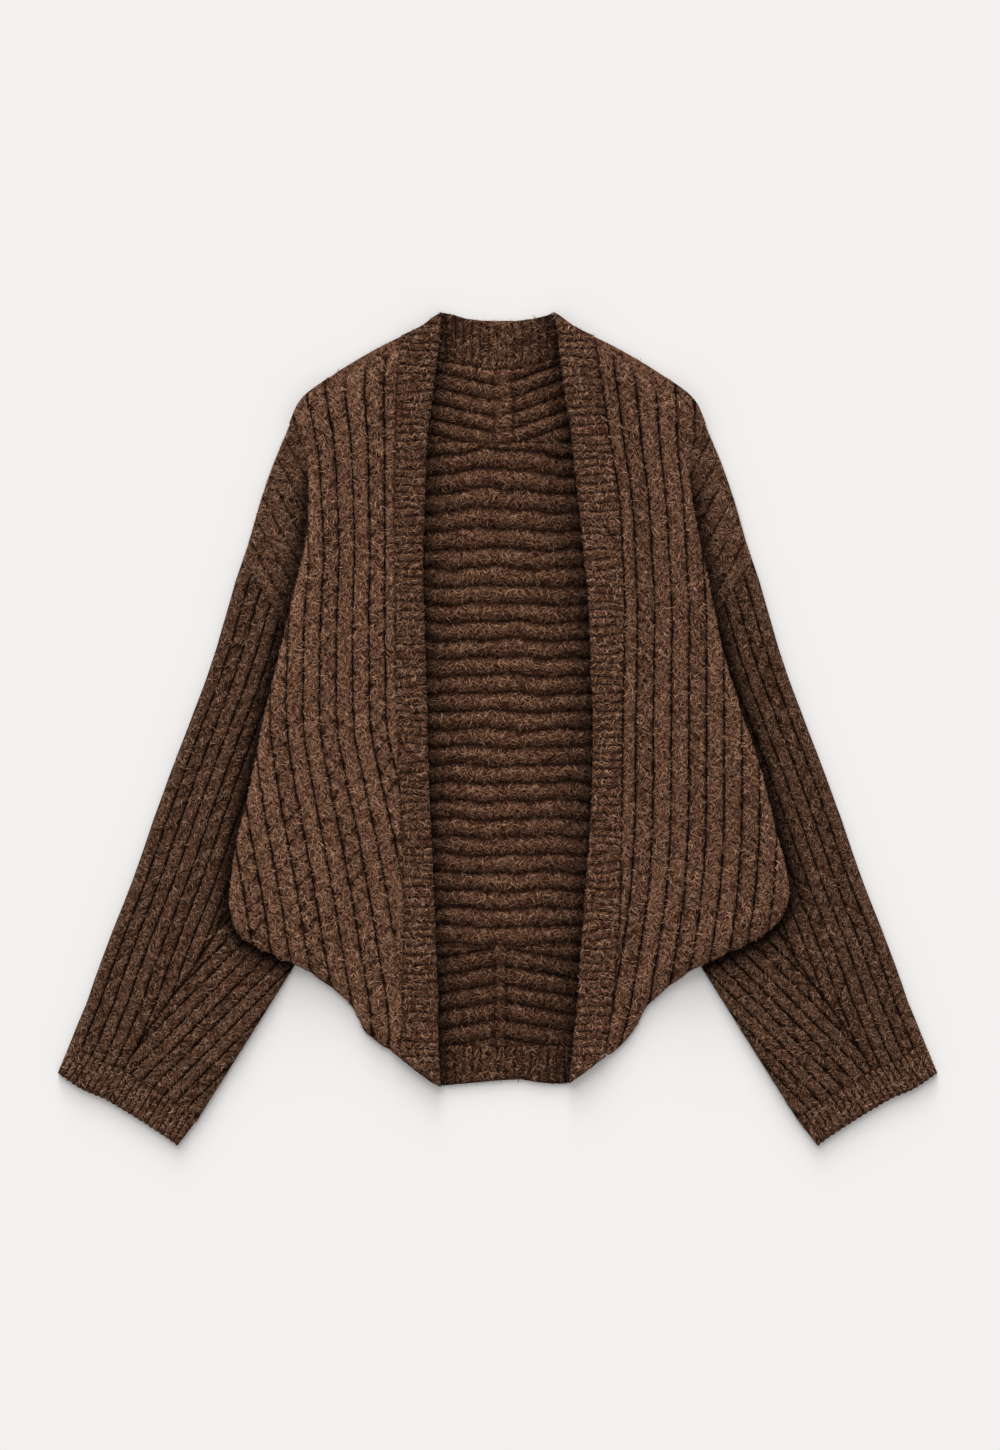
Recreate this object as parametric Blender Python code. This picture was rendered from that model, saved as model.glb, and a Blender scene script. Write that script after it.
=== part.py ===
"""Open-front cardigan in cable knit, laid flat on its back with the front bands apart.

Two long front strips of cable ribs hang from the neck and fold outwards over the sleeves. The back
panel, the neck yoke and the hem ends of the strips lie under them on the surface. Tables hold real
sizes in millimetres. The garment is the same on both sides apart from the edges of its fronts, so
"reach" is a distance from the centre line to either side, and side is -1 or 1.
"""

from math import cos, floor, hypot, pi, sin, sqrt

import bmesh
import bpy
from mathutils import Vector
from mathutils.geometry import delaunay_2d_cdt

MM = 0.001

# Knitted cloth
WALL = 3.0                # one layer of the knit, without its ribs
RIB_RISE = 2.2            # cable ribs stand this high over their grooves
BAND_RISE = 1.4           # the short ribs of the bands
CUFF_RISE = 1.1
CABLE_TURN = 30.0         # one strand crosses its rib in half of this length
STRANDS = (0.3, 0.7)      # where the two strands of a cable rib lie across it
CREST = (0.5,)            # a plain rib has one crest
FINER = 4                 # rib lines are followed in this many parts of their step
BAND_STEP = 14.0          # short ribs have no points between their ends
CREASE_ANGLE = 0.2        # radians between faces that shade as a crease
SEAM_GAP = 0.3

# Layers
SLIT = 0.8                # the open space between the two walls of a flat sleeve
ARM_WALL_TOP = 2 * WALL + SLIT
BODY_TOP = WALL + RIB_RISE
ARM_TOP = ARM_WALL_TOP + RIB_RISE
LAYER_GAP = 0.35
OVER_BODY = BODY_TOP + LAYER_GAP
OVER_ARM = ARM_TOP + LAYER_GAP
SIDE_FOLD = 4.0           # cloth left beside the slit, where a sleeve folds round
SLIT_PAST = 6.0           # the slit's cutter runs this far past the open ends

# Rounded edges
SEAM_ROUND = 2.6
FOLD_ROUND = 12.0
SEAM_EDGE = 2.2
ZONE_MARGIN = 0.8         # ribs stop this far inside a piece's rounded edge
ARM_EDGE_TOP = 3.6
LIP_EDGE = 3.6            # the fold's outer edge where it turns down to the surface
OVER_ARM_EDGE = OVER_ARM + 1.6

BODY_REACH = 151.2        # half width of the pieces between the arms
ARM_LINE = 152.0          # the sleeves and shoulders start at this reach, under the fronts
ARMPIT_Y = -166.0
INNER_SLOPE = (0.846, 0.532)    # unit vector square to the sleeve's inner edge
CENTRE_SEAM = 1.8

RIB_PITCH_ARM = 11.4
RIB_PITCH_CAP = 14.0
RIB_PITCH_BACK = 15.8
RIB_PITCH_BAND = 7.4
RIB_PITCH_CUFF = 5.6
RIB_PITCH_YOKE = 14.0

# Direction of the ribs on the right side of the garment, as unit vectors
ARM_RIBS = (0.40, -0.916)       # along the sleeve's outer edge
MITRE_RIBS = (0.707, -0.707)    # below the line of decreases
CAP_RIBS = (-0.48, -0.877)
CUFF_RIBS = (0.518, -0.856)
ARM_LEAN = 0.93           # width square to the outer edge for each unit of reach
YOKE_SLOPE = {-1: 0.22, 1: 0.36}
TAIL_SLOPE = 0.175
YOKE_CENTRE_Y = 316.0

# Arch of the first back ribs under the yoke
ARCH_RISE = 9.0
ARCH_REACH = 75.0
ARCH_FADE = 120.0

# How a front rises over the sleeve and folds round
RISE_RUN = 24.0           # it starts this far before the sleeve
SWELL_START = 6.0         # distance from the band's seam
SWELL_RUN = 62.0
EDGE_RUN = 7.0
SEAM_SINK = 0.45          # height share left at the band's seam
BAND_EXTRA = 0.4
BAND_EDGE = 1.8


def table(names, *rows):
    """A list of rows, each a dictionary with the given column names."""
    return [dict(zip(names.split(), row)) for row in rows]


# Front strips: the band's opening edge, the seam between band and strip, the rib pitch, the distance
# by which the ribs have slid under the band, and the extra height of the soft fold beside the sleeve.
FRONT = {
    -1: table(
        "y opening seam pitch slip swell",
        (368, 48.6, 83.0, 17.6, 0, 0.0),
        (345, 50.5, 84.9, 17.6, 0, 0.5),
        (300, 56.5, 88.6, 17.2, 0, 1.0),
        (250, 62.0, 89.5, 14.8, 0, 1.5),
        (200, 63.8, 90.2, 13.8, 0, 2.0),
        (150, 65.6, 90.2, 13.4, 0, 2.5),
        (100, 64.5, 90.0, 14.0, 0, 3.0),
        (50, 63.0, 89.0, 14.4, 0, 3.5),
        (0, 61.8, 87.5, 14.6, 0, 4.0),
        (-50, 60.4, 85.5, 15.2, 9, 4.6),
        (-100, 58.0, 83.5, 15.6, 19, 5.0),
        (-150, 56.0, 82.3, 15.6, 27, 5.0),
        (-200, 54.0, 82.3, 15.6, 35, 4.4),
        (-250, 52.3, 83.0, 15.4, 43, 3.0),
        (-290, 51.5, 87.0, 15.4, 48, 1.6),
        (-320, 49.5, 90.0, 15.4, 50, 1.0),
    ),
    1: table(
        "y opening seam pitch slip swell",
        (368, 51.5, 83.0, 17.4, 0, 0.0),
        (345, 53.4, 84.9, 17.4, 0, 0.5),
        (300, 58.5, 91.5, 17.0, 0, 1.0),
        (250, 65.8, 99.0, 15.6, 0, 1.5),
        (200, 71.3, 106.5, 14.8, 0, 2.0),
        (150, 76.5, 109.5, 14.8, 0, 2.5),
        (100, 80.6, 111.3, 15.0, 0, 3.0),
        (50, 82.5, 110.3, 15.2, 0, 3.5),
        (0, 84.0, 109.4, 15.4, 0, 4.0),
        (-50, 83.3, 109.0, 15.5, 0, 4.6),
        (-100, 80.8, 108.6, 15.6, 1, 5.0),
        (-150, 77.0, 107.8, 15.6, 4, 5.0),
        (-200, 73.0, 104.5, 15.6, 8, 4.4),
        (-250, 69.8, 100.0, 15.5, 12, 3.0),
        (-290, 65.5, 93.5, 15.5, 16, 1.6),
        (-320, 62.5, 89.0, 15.5, 18, 1.0),
    ),
}
FIRST_GROOVE = {-1: 0.65, 1: 0.80}

# The fold at the outer side of each front, from the shoulder down and round to the hem.
FOLD = {
    -1: table(
        "reach y",
        (181.7, 272.4), (178.2, 265.3), (172.9, 249.5), (167.6, 234.5), (166.0, 199.0),
        (168.5, 165.0), (174.7, 136.8), (182.6, 105.2), (190.5, 70.8), (203.7, 17.2),
        (216.9, -48.0), (230.1, -104.3), (235.0, -142.0), (235.4, -160.0), (227.5, -180.0),
        (209.0, -193.2), (179.0, -206.8), (158.0, -219.6), (133.3, -238.9), (122.8, -254.8),
        (114.8, -268.8), (92.8, -284.7),
    ),
    1: table(
        "reach y",
        (181.7, 272.4), (178.6, 265.3), (174.0, 252.0), (169.0, 236.0), (170.3, 206.4),
        (177.3, 168.5), (188.8, 113.1), (199.3, 64.7), (213.4, 17.2), (229.2, -28.6),
        (243.3, -82.3), (253.9, -125.4), (256.5, -147.4), (251.2, -163.2), (235.4, -180.0),
        (210.8, -193.2), (180.0, -207.6), (170.3, -213.4), (151.8, -226.6), (132.4, -244.2),
        (121.9, -262.7), (108.7, -279.4), (97.5, -287.4),
    ),
}
# Lower end of each front band, from the strip's seam to the opening.
BAND_FOOT = {
    -1: table("reach y", (92.0, -285.2), (74.4, -299.6), (57.6, -312.0), (50.0, -315.5)),
    1: table("reach y", (95.5, -288.8), (86.7, -295.2), (74.0, -305.0), (62.9, -312.6)),
}
SHOULDER = table(
    "reach y",
    (84.9, 345.4), (106.0, 334.8), (133.3, 319.0), (154.4, 304.9), (168.5, 294.4), (176.4, 284.7),
    (181.7, 272.4),
)
BAND_TOP = table("reach y", (49.0, 366.8), (56.0, 362.6), (67.3, 354.2), (84.5, 345.8))

# Outer edge of shoulder and sleeve, then the cuff.
ARM_EDGE = table(
    "y reach",
    (290, 173.0), (272, 181.8), (233, 197.5), (200, 209.0), (162, 219.8), (132, 230.2), (95, 240.8),
    (58, 252.0), (14, 268.0), (-34, 286.3), (-80, 303.2), (-134, 321.8), (-190, 343.6), (-242, 362.0),
    (-276, 376.2), (-310, 390.0),
)
CUFF_EDGE = table(
    "reach y",
    (387.5, -303.5), (367.4, -317.2), (347.2, -326.0), (330.4, -335.7), (314.6, -345.4),
    (294.4, -358.6), (282.0, -367.4),
)
CUFF_SEAM = table(
    "reach y",
    (376.3, -276.2), (352.0, -291.5), (331.7, -300.3), (314.9, -310.0), (299.1, -319.7),
    (278.9, -332.9), (263.7, -343.7),
)
SLEEVE_INNER = table("reach y", (263.7, -343.7), (221.0, -276.0), (179.0, -209.0), (152.0, -166.0))
ARM_SEAM = table("reach y", (152.0, -166.0), (152.0, -80.0), (158.0, 0.0), (182.6, 78.0), (224.3, 148.5))
CAP_TOP = table("reach y", (182.0, 270.2), (171.0, 271.5), (163.0, 283.0), (152.0, 292.0))
# Where ribs are raised on the sleeve and shoulder, apart from the lines that follow an edge
ARM_ZONE_FOOT = table(
    "reach y", (369.0, -277.5), (350.5, -288.5), (332.0, -296.6), (324.2, -300.0), (238.6, -164.0),
)
ARM_ZONE_TOP = table("reach y", (187.0, 80.0))
MITRE_ZONE = table(
    "reach y",
    (236.4, -166.8), (321.8, -302.2), (300.0, -315.0), (280.0, -328.5), (264.8, -339.2),
    (222.6, -271.6), (188.0, -216.0), (205.0, -186.0), (222.0, -172.0),
)
CAP_ZONE = table(
    "reach y", (196.0, 108.0), (186.0, 92.0), (168.0, 92.0), (160.0, 170.0), (158.0, 232.0), (170.0, 262.0),
)
MITRE_FOOT = (337.5, -318.0)
ZONE_EDGE = 4.2           # ribs stop this far from the sleeve's outer fold
UNDER_FRONT = 9.0         # and run this far under the front's fold
SEAM_Y = 148.5
SEAM_TOP = 340
SEAM_FOOT = -285

# Pieces on the surface under the fronts
BACK_TOP_Y = 252.0
BACK_FOOT_Y = -193.0
HEM_BAND_Y = -280.2
NECK_BAND_FOOT = table(
    "x y",
    (-76.0, 327.3), (-51.0, 323.6), (-9.0, 317.0), (CENTRE_SEAM, 316.4), (16.0, 316.6), (50.0, 325.4),
    (76.0, 331.0),
)
NECK_TOP = table(
    "x y",
    (-76.0, 341.0), (-66.0, 347.5), (-54.0, 355.0), (-48.6, 356.6), (-48.0, 365.2), (-40.0, 362.8),
    (-28.0, 360.4), (-14.0, 359.2), (16.0, 359.2), (30.0, 361.0), (42.0, 363.8), (50.9, 366.0),
    (51.6, 357.0), (56.0, 354.5), (66.0, 347.5), (76.0, 341.0),
)
YOKE_SHOULDER = table("reach y", (77.0, 338.2), (100.0, 328.4), (129.0, 311.4), (BODY_REACH, 296.0))
TAIL_SIDE = {
    -1: table(
        "reach y",
        (BODY_REACH, BACK_FOOT_Y - SEAM_GAP), (149.8, -213.0), (127.5, -231.5), (115.5, -250.0),
        (107.0, -265.0), (93.0, -276.0), (88.0, -279.9),
    ),
    1: table(
        "reach y",
        (BODY_REACH, BACK_FOOT_Y - SEAM_GAP), (151.0, -212.0), (144.5, -220.5), (126.0, -238.5),
        (114.8, -258.0), (104.0, -271.0), (95.0, -279.9),
    ),
}
HEM_FOOT = table(
    "x y",
    (-84.0, -280.5), (-70.0, -292.0), (-54.0, -303.8), (-48.6, -306.0), (-47.6, -314.6), (-26.0, -312.8),
    (2.0, -310.2), (20.0, -309.3), (37.0, -312.0), (49.0, -313.2), (60.4, -312.4), (61.2, -304.0),
    (82.0, -288.6), (90.0, -280.5),
)

BACK_SHOWN = 100.0        # ribs are raised on the back panel up to this reach
CLOTH_BROWN = (0.095, 0.048, 0.031)
SLEEVE_BROWN = (0.075, 0.038, 0.025)
INSIDE_BROWN = (0.062, 0.031, 0.020)


def points(rows, across="reach", side=1):
    """The plan points of a table's rows."""
    return [(side * row[across], row["y"]) for row in rows]


def smooth_step(value):
    """0 below 0, 1 above 1, and a soft rise between them."""
    value = min(1.0, max(0.0, value))
    return value * value * (3 - 2 * value)


def rounding(distance, radius):
    """Height share of a rounded edge at a distance inside it."""
    if distance >= radius:
        return 1.0
    return sqrt(max(0.0, 1 - (1 - max(0.0, distance) / radius) ** 2))


def cubic(before, start, end, after, share):
    """Catmull-Rom value between start and end."""
    slope_a, slope_b = (end - before) / 2, (after - start) / 2
    square, cube = share * share, share ** 3
    return ((2 * cube - 3 * square + 1) * start + (cube - 2 * square + share) * slope_a
            + (3 * square - 2 * cube) * end + (cube - square) * slope_b)


def column(rows, name, y):
    """A column of a table whose rows run down in y, read smoothly at y."""
    if y >= rows[0]["y"]:
        return rows[0][name]
    for at in range(len(rows) - 1):
        upper, lower = rows[at], rows[at + 1]
        if y >= lower["y"]:
            share = (upper["y"] - y) / (upper["y"] - lower["y"])
            before = rows[max(at - 1, 0)][name]
            after = rows[min(at + 2, len(rows) - 1)][name]
            return cubic(before, upper[name], lower[name], after, share)
    return rows[-1][name]


def curve(control, spacing):
    """Points about spacing apart along a smooth line through the control points."""
    line = [control[0]]
    last = len(control) - 1
    for at in range(last):
        a, b = control[at], control[at + 1]
        before, after = control[max(at - 1, 0)], control[min(at + 2, last)]
        steps = max(1, round(hypot(b[0] - a[0], b[1] - a[1]) / spacing))
        for step in range(1, steps + 1):
            share = step / steps
            line.append(tuple(cubic(before[i], a[i], b[i], after[i], share) for i in (0, 1)))
    return line


def joined(*runs):
    """One closed outline from runs that follow each other, counter-clockwise."""
    outline = []
    for run in runs:
        for point in run:
            if not outline or hypot(point[0] - outline[-1][0], point[1] - outline[-1][1]) > 0.2:
                outline.append(point)
    if hypot(outline[0][0] - outline[-1][0], outline[0][1] - outline[-1][1]) < 0.2:
        outline.pop()
    turn = sum(a[0] * b[1] - b[0] * a[1] for a, b in zip(outline, outline[1:] + outline[:1]))
    return outline if turn > 0 else outline[::-1]


def mirrored(outline):
    """The outline on the other side of the centre line."""
    return [(-x, y) for x, y in outline][::-1]


def moved_in(outline, distance):
    """The outline with each edge moved in; distance is one number or one for each edge."""
    count = len(outline)
    shift = distance if isinstance(distance, list) else [distance] * count
    result = []
    for at in range(count):
        before, here, after = outline[at - 1], outline[at], outline[(at + 1) % count]
        first = Vector((here[0] - before[0], here[1] - before[1])).normalized()
        second = Vector((after[0] - here[0], after[1] - here[1])).normalized()
        normal_a, normal_b = Vector((-first.y, first.x)), Vector((-second.y, second.x))
        turn = normal_a.x * normal_b.y - normal_a.y * normal_b.x
        gap_a, gap_b = shift[at - 1], shift[at]
        if abs(turn) < 0.15:
            middle = (normal_a + normal_b).normalized() * (gap_a + gap_b) / 2
            result.append((here[0] + middle.x, here[1] + middle.y))
            continue
        x = (gap_a * normal_b.y - gap_b * normal_a.y) / turn
        y = (gap_b * normal_a.x - gap_a * normal_b.x) / turn
        result.append((here[0] + x, here[1] + y))
    return result


def ring_inside(outline, distance):
    """The line at a distance inside an outline, without the loops it makes at sharp corners."""
    edge = outline + outline[:1]
    ring = moved_in(outline, distance)
    return [p for p in ring if inside(p, outline) and distance_to(p, edge) > 0.9 * distance]


def inside(point, outline):
    """Whether a point is inside an outline."""
    x, y = point
    found = False
    for (ax, ay), (bx, by) in zip(outline, outline[1:] + outline[:1]):
        if (ay > y) != (by > y) and x < (bx - ax) * (y - ay) / (by - ay) + ax:
            found = not found
    return found


def distance_to(point, line):
    """Distance from a point to an open line."""
    x, y = point
    best = 1e9
    for (ax, ay), (bx, by) in zip(line, line[1:]):
        dx, dy = bx - ax, by - ay
        share = ((x - ax) * dx + (y - ay) * dy) / max(dx * dx + dy * dy, 1e-9)
        share = min(1.0, max(0.0, share))
        best = min(best, hypot(x - ax - share * dx, y - ay - share * dy))
    return best


def rib_height(across, along, strands, twist):
    """Share of the rib's rise at a place across it (whole numbers are grooves) and along it."""
    place = across - floor(across)
    crown = min(1.0, sin(pi * place) / sin(pi * strands[0]))
    if len(strands) == 1:
        return crown
    lag = (place - strands[0]) / (strands[1] - strands[0]) / 2
    return crown * (0.76 + 0.24 * cos(2 * pi * (along / CABLE_TURN - twist * lag)))


class Knit:
    """How ribs lie on a piece: across(x, y) counts ribs, and they run along the given direction."""

    def __init__(self, across, direction, strands, rise, step, zone, twist=1):
        self.across, self.strands, self.rise = across, strands, rise
        self.direction = Vector(direction).normalized()
        self.sideways = Vector((-self.direction.y, self.direction.x))
        self.step, self.zone, self.twist = step, joined(zone), twist
        self.shown = moved_in(self.zone, -0.6)
        self.core = ring_inside(self.zone, 1.2)

    def along(self, x, y):
        """Distance along the ribs."""
        return x * self.direction.x + y * self.direction.y

    def relief(self, x, y):
        """Height of the ribs over their grooves."""
        height = rib_height(self.across(x, y), self.along(x, y), self.strands, self.twist)
        return self.rise * height

    def place(self, rib, along, low, high):
        """The point at a rib number and a distance along, between two sideways limits."""
        base = self.direction * along

        def error(offset):
            point = base + self.sideways * offset
            return self.across(point.x, point.y) - rib

        if error(low) * error(high) > 0:
            return None
        for _ in range(24):
            middle = (low + high) / 2
            if error(low) * error(middle) <= 0:
                high = middle
            else:
                low = middle
        point = base + self.sideways * low
        return point.x, point.y

    def lines(self):
        """Open lines of grooves and plain crests, and the ridges of crossing strands."""
        offsets = [p[0] * self.sideways.x + p[1] * self.sideways.y for p in self.zone]
        reaches = [self.along(*p) for p in self.zone]
        low, high = min(offsets) - 1, max(offsets) + 1
        start, end = floor(min(reaches) / self.step), floor(max(reaches) / self.step) + 2
        counts = [self.across(*p) for p in self.zone]
        traces, ridges = [], []
        for rib in range(floor(min(counts)) - 1, floor(max(counts)) + 2):
            traces += self.trace(rib, self.zone, low, high, start, end)
            if len(self.strands) == 1:
                traces += self.trace(rib + self.strands[0], self.core, low, high, start, end)
            else:
                ridges += self.ridge(rib, low, high, start, end)
        return traces, ridges

    def trace(self, rib, area, low, high, start, end):
        """Stretches of one rib line inside an area, cut off exactly at its edge."""
        stretches, current, last = [], [], None
        for at in range(start * FINER, end * FINER):
            point = self.place(rib, at * self.step / FINER, low, high)
            is_in = point is not None and inside(point, area)
            if is_in and not current and last:
                current.append(border(last, point, area))
            if is_in and at % FINER == 0 and self.step > BAND_STEP or is_in and not current:
                current.append(point)
            if not is_in and current:
                current.append(border(point or last, last, area))
                stretches.append(current)
                current = []
            last = point
        return [line for line in stretches if length(line) > 3]

    def ridge(self, rib, low, high, start, end):
        """Strand crossings of one rib: pairs of points joined by the strand's ridge."""
        rows = []
        for at in range(start, end):
            row = []
            for strand in self.strands:
                point = self.place(rib + strand, at * self.step, low, high)
                row.append(point if point and inside(point, self.core) else None)
            rows.append(row)
        first, second = (0, 1) if self.twist > 0 else (1, 0)
        pairs = [(above[first], below[second]) for above, below in zip(rows, rows[1:])]
        singles = [(point, point) for row in rows for point in row if point]
        return singles + [pair for pair in pairs if pair[0] and pair[1]]


def border(outer, inner, area):
    """The point between an outer and an inner one that lies on the area's edge."""
    outer, inner = Vector(outer), Vector(inner)
    for _ in range(14):
        middle = (outer + inner) / 2
        if inside(middle, area):
            inner = middle
        else:
            outer = middle
    return tuple(inner)


def length(line):
    """Length of an open line."""
    return sum(hypot(b[0] - a[0], b[1] - a[1]) for a, b in zip(line, line[1:]))


class Net:
    """Plan points and edges that are triangulated together."""

    def __init__(self):
        self.spots, self.edges, self.known = [], [], {}

    def add(self, point):
        """Number of a point, which is kept once."""
        key = (round(point[0], 2), round(point[1], 2))
        if key not in self.known:
            self.known[key] = len(self.spots)
            self.spots.append(Vector(point))
        return self.known[key]

    def line(self, line, closed=False):
        """Keep a line's points and edges, and return its numbers."""
        marks = [self.add(point) for point in line]
        ends = marks[1:] + marks[:1] if closed else marks[1:]
        self.edges += [(a, b) for a, b in zip(marks, ends) if a != b]
        return marks

    def triangles(self, outline_marks):
        """Triangle net inside the outline: its points, triangles and the outline's own marks."""
        made = delaunay_2d_cdt(self.spots, self.edges, [outline_marks], 1, 0.02)
        source = {}
        for new, olds in enumerate(made[3]):
            for old in olds:
                source[old] = new
        return made[0], made[2], [source[mark] for mark in outline_marks]


def slab(name, outline, top, rings=(SEAM_ROUND,), knits=()):
    """A cloth piece on the surface: plain flat underside, and a top that follows top(x, y)."""
    net = Net()
    border = net.line(outline, closed=True)
    for ring in rings:
        net.line(ring_inside(outline, ring), closed=True)
    for knit in knits:
        traces, ridges = knit.lines()
        for line in traces + ridges:
            net.line(line)
    spots, faces, rim = net.triangles(border)
    under = Net()
    under_border = under.line(outline, closed=True)
    under_spots, under_faces, under_rim = under.triangles(under_border)
    shape = bmesh.new()
    upper = [shape.verts.new((p.x * MM, p.y * MM, top(p.x, p.y) * MM)) for p in spots]
    lower = [shape.verts.new((p.x * MM, p.y * MM, 0)) for p in under_spots]
    for face in faces:
        shape.faces.new([upper[at] for at in face])
    for face in under_faces:
        shape.faces.new([lower[at] for at in reversed(face)])
    for at in range(len(rim)):
        after = (at + 1) % len(rim)
        shape.faces.new((lower[under_rim[at]], lower[under_rim[after]], upper[rim[after]], upper[rim[at]]))
    bmesh.ops.delete(shape, geom=[v for v in shape.verts if not v.link_faces], context="VERTS")
    bmesh.ops.triangulate(shape, faces=shape.faces[:])
    bmesh.ops.recalc_face_normals(shape, faces=shape.faces[:])
    return add_object(name, shape, PIECES)


def add_object(name, shape, collection):
    """Turn a bmesh into an object of the collection."""
    mesh = bpy.data.meshes.new(name)
    shape.to_mesh(mesh)
    shape.free()
    piece = bpy.data.objects.new(name, mesh)
    collection.objects.link(piece)
    return piece


def prism(name, outline, low, high):
    """A straight block over an outline, used as a cutter."""
    shape = bmesh.new()
    base = shape.faces.new([shape.verts.new((x * MM, y * MM, low * MM)) for x, y in outline])
    raised = bmesh.ops.extrude_face_region(shape, geom=[base])
    tops = [item for item in raised["geom"] if isinstance(item, bmesh.types.BMVert)]
    bmesh.ops.translate(shape, verts=tops, vec=(0, 0, (high - low) * MM))
    bmesh.ops.recalc_face_normals(shape, faces=shape.faces[:])
    block = add_object(name, shape, CUTTERS)
    block.hide_render = True
    block.display_type = "WIRE"
    return block


def cut(piece, block):
    """Take the block out of the piece."""
    boolean = piece.modifiers.new(block.name, "BOOLEAN")
    boolean.operation = "DIFFERENCE"
    boolean.solver = "EXACT"
    boolean.object = block


def material(name, colour):
    """Brushed wool: no gloss, with the given colour."""
    cloth = bpy.data.materials.new(name)
    cloth.use_nodes = True
    shader = cloth.node_tree.nodes["Principled BSDF"]
    shader.inputs["Base Color"].default_value = (*colour, 1)
    shader.inputs["Roughness"].default_value = 0.95
    shader.inputs["Metallic"].default_value = 0
    return cloth


def finish(piece, cloth):
    """Give a piece its material and smooth shading over its soft edges."""
    piece.data.materials.append(cloth)
    piece.data.shade_smooth()
    piece.data.set_sharp_from_angle(angle=CREASE_ANGLE)


def arm_depth(reach, y):
    """How far a plan point lies inside the area of shoulder and sleeve; negative outside."""
    below = INNER_SLOPE[0] * (reach - ARM_LINE) + INNER_SLOPE[1] * (y - ARMPIT_Y)
    return min(reach - ARM_LINE, below)


# Outlines ---------------------------------------------------------------------------------------

def seam_run(side, gap):
    """The seam between a front's band and its strip, moved outwards by a gap."""
    rows = FRONT[side]
    return [(side * (column(rows, "seam", y) + gap), y) for y in range(SEAM_TOP, SEAM_FOOT, -20)]


def front_outline(side):
    """A front strip from its seam to its outer fold."""
    seam = seam_run(side, SEAM_GAP)
    fold = curve(points(FOLD[side], side=side), 13)
    shoulder = curve(points(SHOULDER, side=side), 15)
    return joined(shoulder, fold, seam[::-1])


def band_outline(side):
    """A front band from its opening edge to its seam."""
    rows = FRONT[side]
    foot = curve(points(BAND_FOOT[side], side=side), 14)
    head = curve(points(BAND_TOP, side=side), 14)
    opening = [(side * column(rows, "opening", y), y) for y in range(350, -305, -18)]
    seam = seam_run(side, 0)
    return joined(head[::-1], opening, foot[::-1], seam[::-1])


def arm_edge_run(top, foot, step=14):
    """Outer edge of shoulder or sleeve between two heights."""
    steps = max(2, round((top - foot) / step))
    heights = [top + (foot - top) * at / steps for at in range(steps + 1)]
    return [(column(ARM_EDGE, "reach", y), y) for y in heights]


def sleeve_runs():
    """Outer fold, cuff seam, inner fold and shoulder seam of a sleeve."""
    edge = arm_edge_run(SEAM_Y, -276.0)
    return [edge, curve(points(CUFF_SEAM), 18), curve(points(SLEEVE_INNER), 20), curve(points(ARM_SEAM), 22)]


def cap_runs():
    """Outer fold, lower seam, hidden inner edge and upper edge of a shoulder."""
    edge = arm_edge_run(270.2, SEAM_Y + 2 * SEAM_GAP, 13)
    line = curve(points(ARM_SEAM), 22)[::-1]
    seam = [(reach - SEAM_GAP, y + SEAM_GAP / 2) for reach, y in line if y > -0.1]
    hidden = [(ARM_LINE, 0.2), (ARM_LINE, 150.0), (ARM_LINE, 292.0)]
    return [edge, seam, hidden, points(CAP_TOP)[::-1]]


def cuff_runs():
    """Outer fold, open end, inner fold and seam of a cuff."""
    seam = [(reach + SEAM_GAP / 3, y - SEAM_GAP) for reach, y in curve(points(CUFF_SEAM), 14)]
    edge = curve(points(CUFF_EDGE), 14)
    return [[seam[0], edge[0]], edge, [edge[-1], seam[-1]], seam[::-1]]


def slit_outline(runs, open_runs):
    """Outline of the space between two walls: inside the folded runs, out past the open ones."""
    outline, shifts = [], []
    for at, run in enumerate(runs):
        for a, b in zip(run, run[1:]):
            if hypot(a[0] - b[0], a[1] - b[1]) > 0.2:
                outline.append(a)
                shifts.append(-SLIT_PAST if at in open_runs else SIDE_FOLD)
    turn = sum(a[0] * b[1] - b[0] * a[1] for a, b in zip(outline, outline[1:] + outline[:1]))
    if turn < 0:
        outline = outline[::-1]
        shifts = shifts[-2::-1] + shifts[-1:]
    return moved_in(outline, shifts)


# Pieces -----------------------------------------------------------------------------------------

def body_top(outline, knits, plain=RIB_RISE, full=WALL):
    """Top of a single layer on the surface: rounded at its edge, ribs where a knit covers it."""
    edge_line = outline + outline[:1]

    def top(x, y):
        share = rounding(distance_to((x, y), edge_line), SEAM_ROUND)
        relief = plain
        for knit in knits:
            if inside((x, y), knit.shown):
                relief = knit.relief(x, y)
        return SEAM_EDGE + (full + relief - SEAM_EDGE) * share

    return top


def zone_of(outline, margin, low_x, high_x):
    """The part of an outline, moved in, between two vertical lines."""
    core = ring_inside(outline, margin)
    return clipped(clipped(core, 0, low_x, 1), 0, high_x, -1)


def clipped(outline, axis, limit, keep):
    """The part of an outline on one side of a straight line across an axis."""
    result = []
    for a, b in zip(outline, outline[1:] + outline[:1]):
        in_a, in_b = keep * (a[axis] - limit) >= 0, keep * (b[axis] - limit) >= 0
        if in_a:
            result.append(a)
        if in_a != in_b:
            share = (limit - a[axis]) / (b[axis] - a[axis])
            result.append(tuple(a[i] + share * (b[i] - a[i]) for i in (0, 1)))
    return result


def back_across(x, y):
    """Back panel ribs: level over most of it, arched under the yoke."""
    depth = BACK_TOP_Y - y
    arch = ARCH_RISE * (1 - (x / ARCH_REACH) ** 2) * (1 - smooth_step(depth / ARCH_FADE))
    return (depth + arch) / RIB_PITCH_BACK


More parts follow.
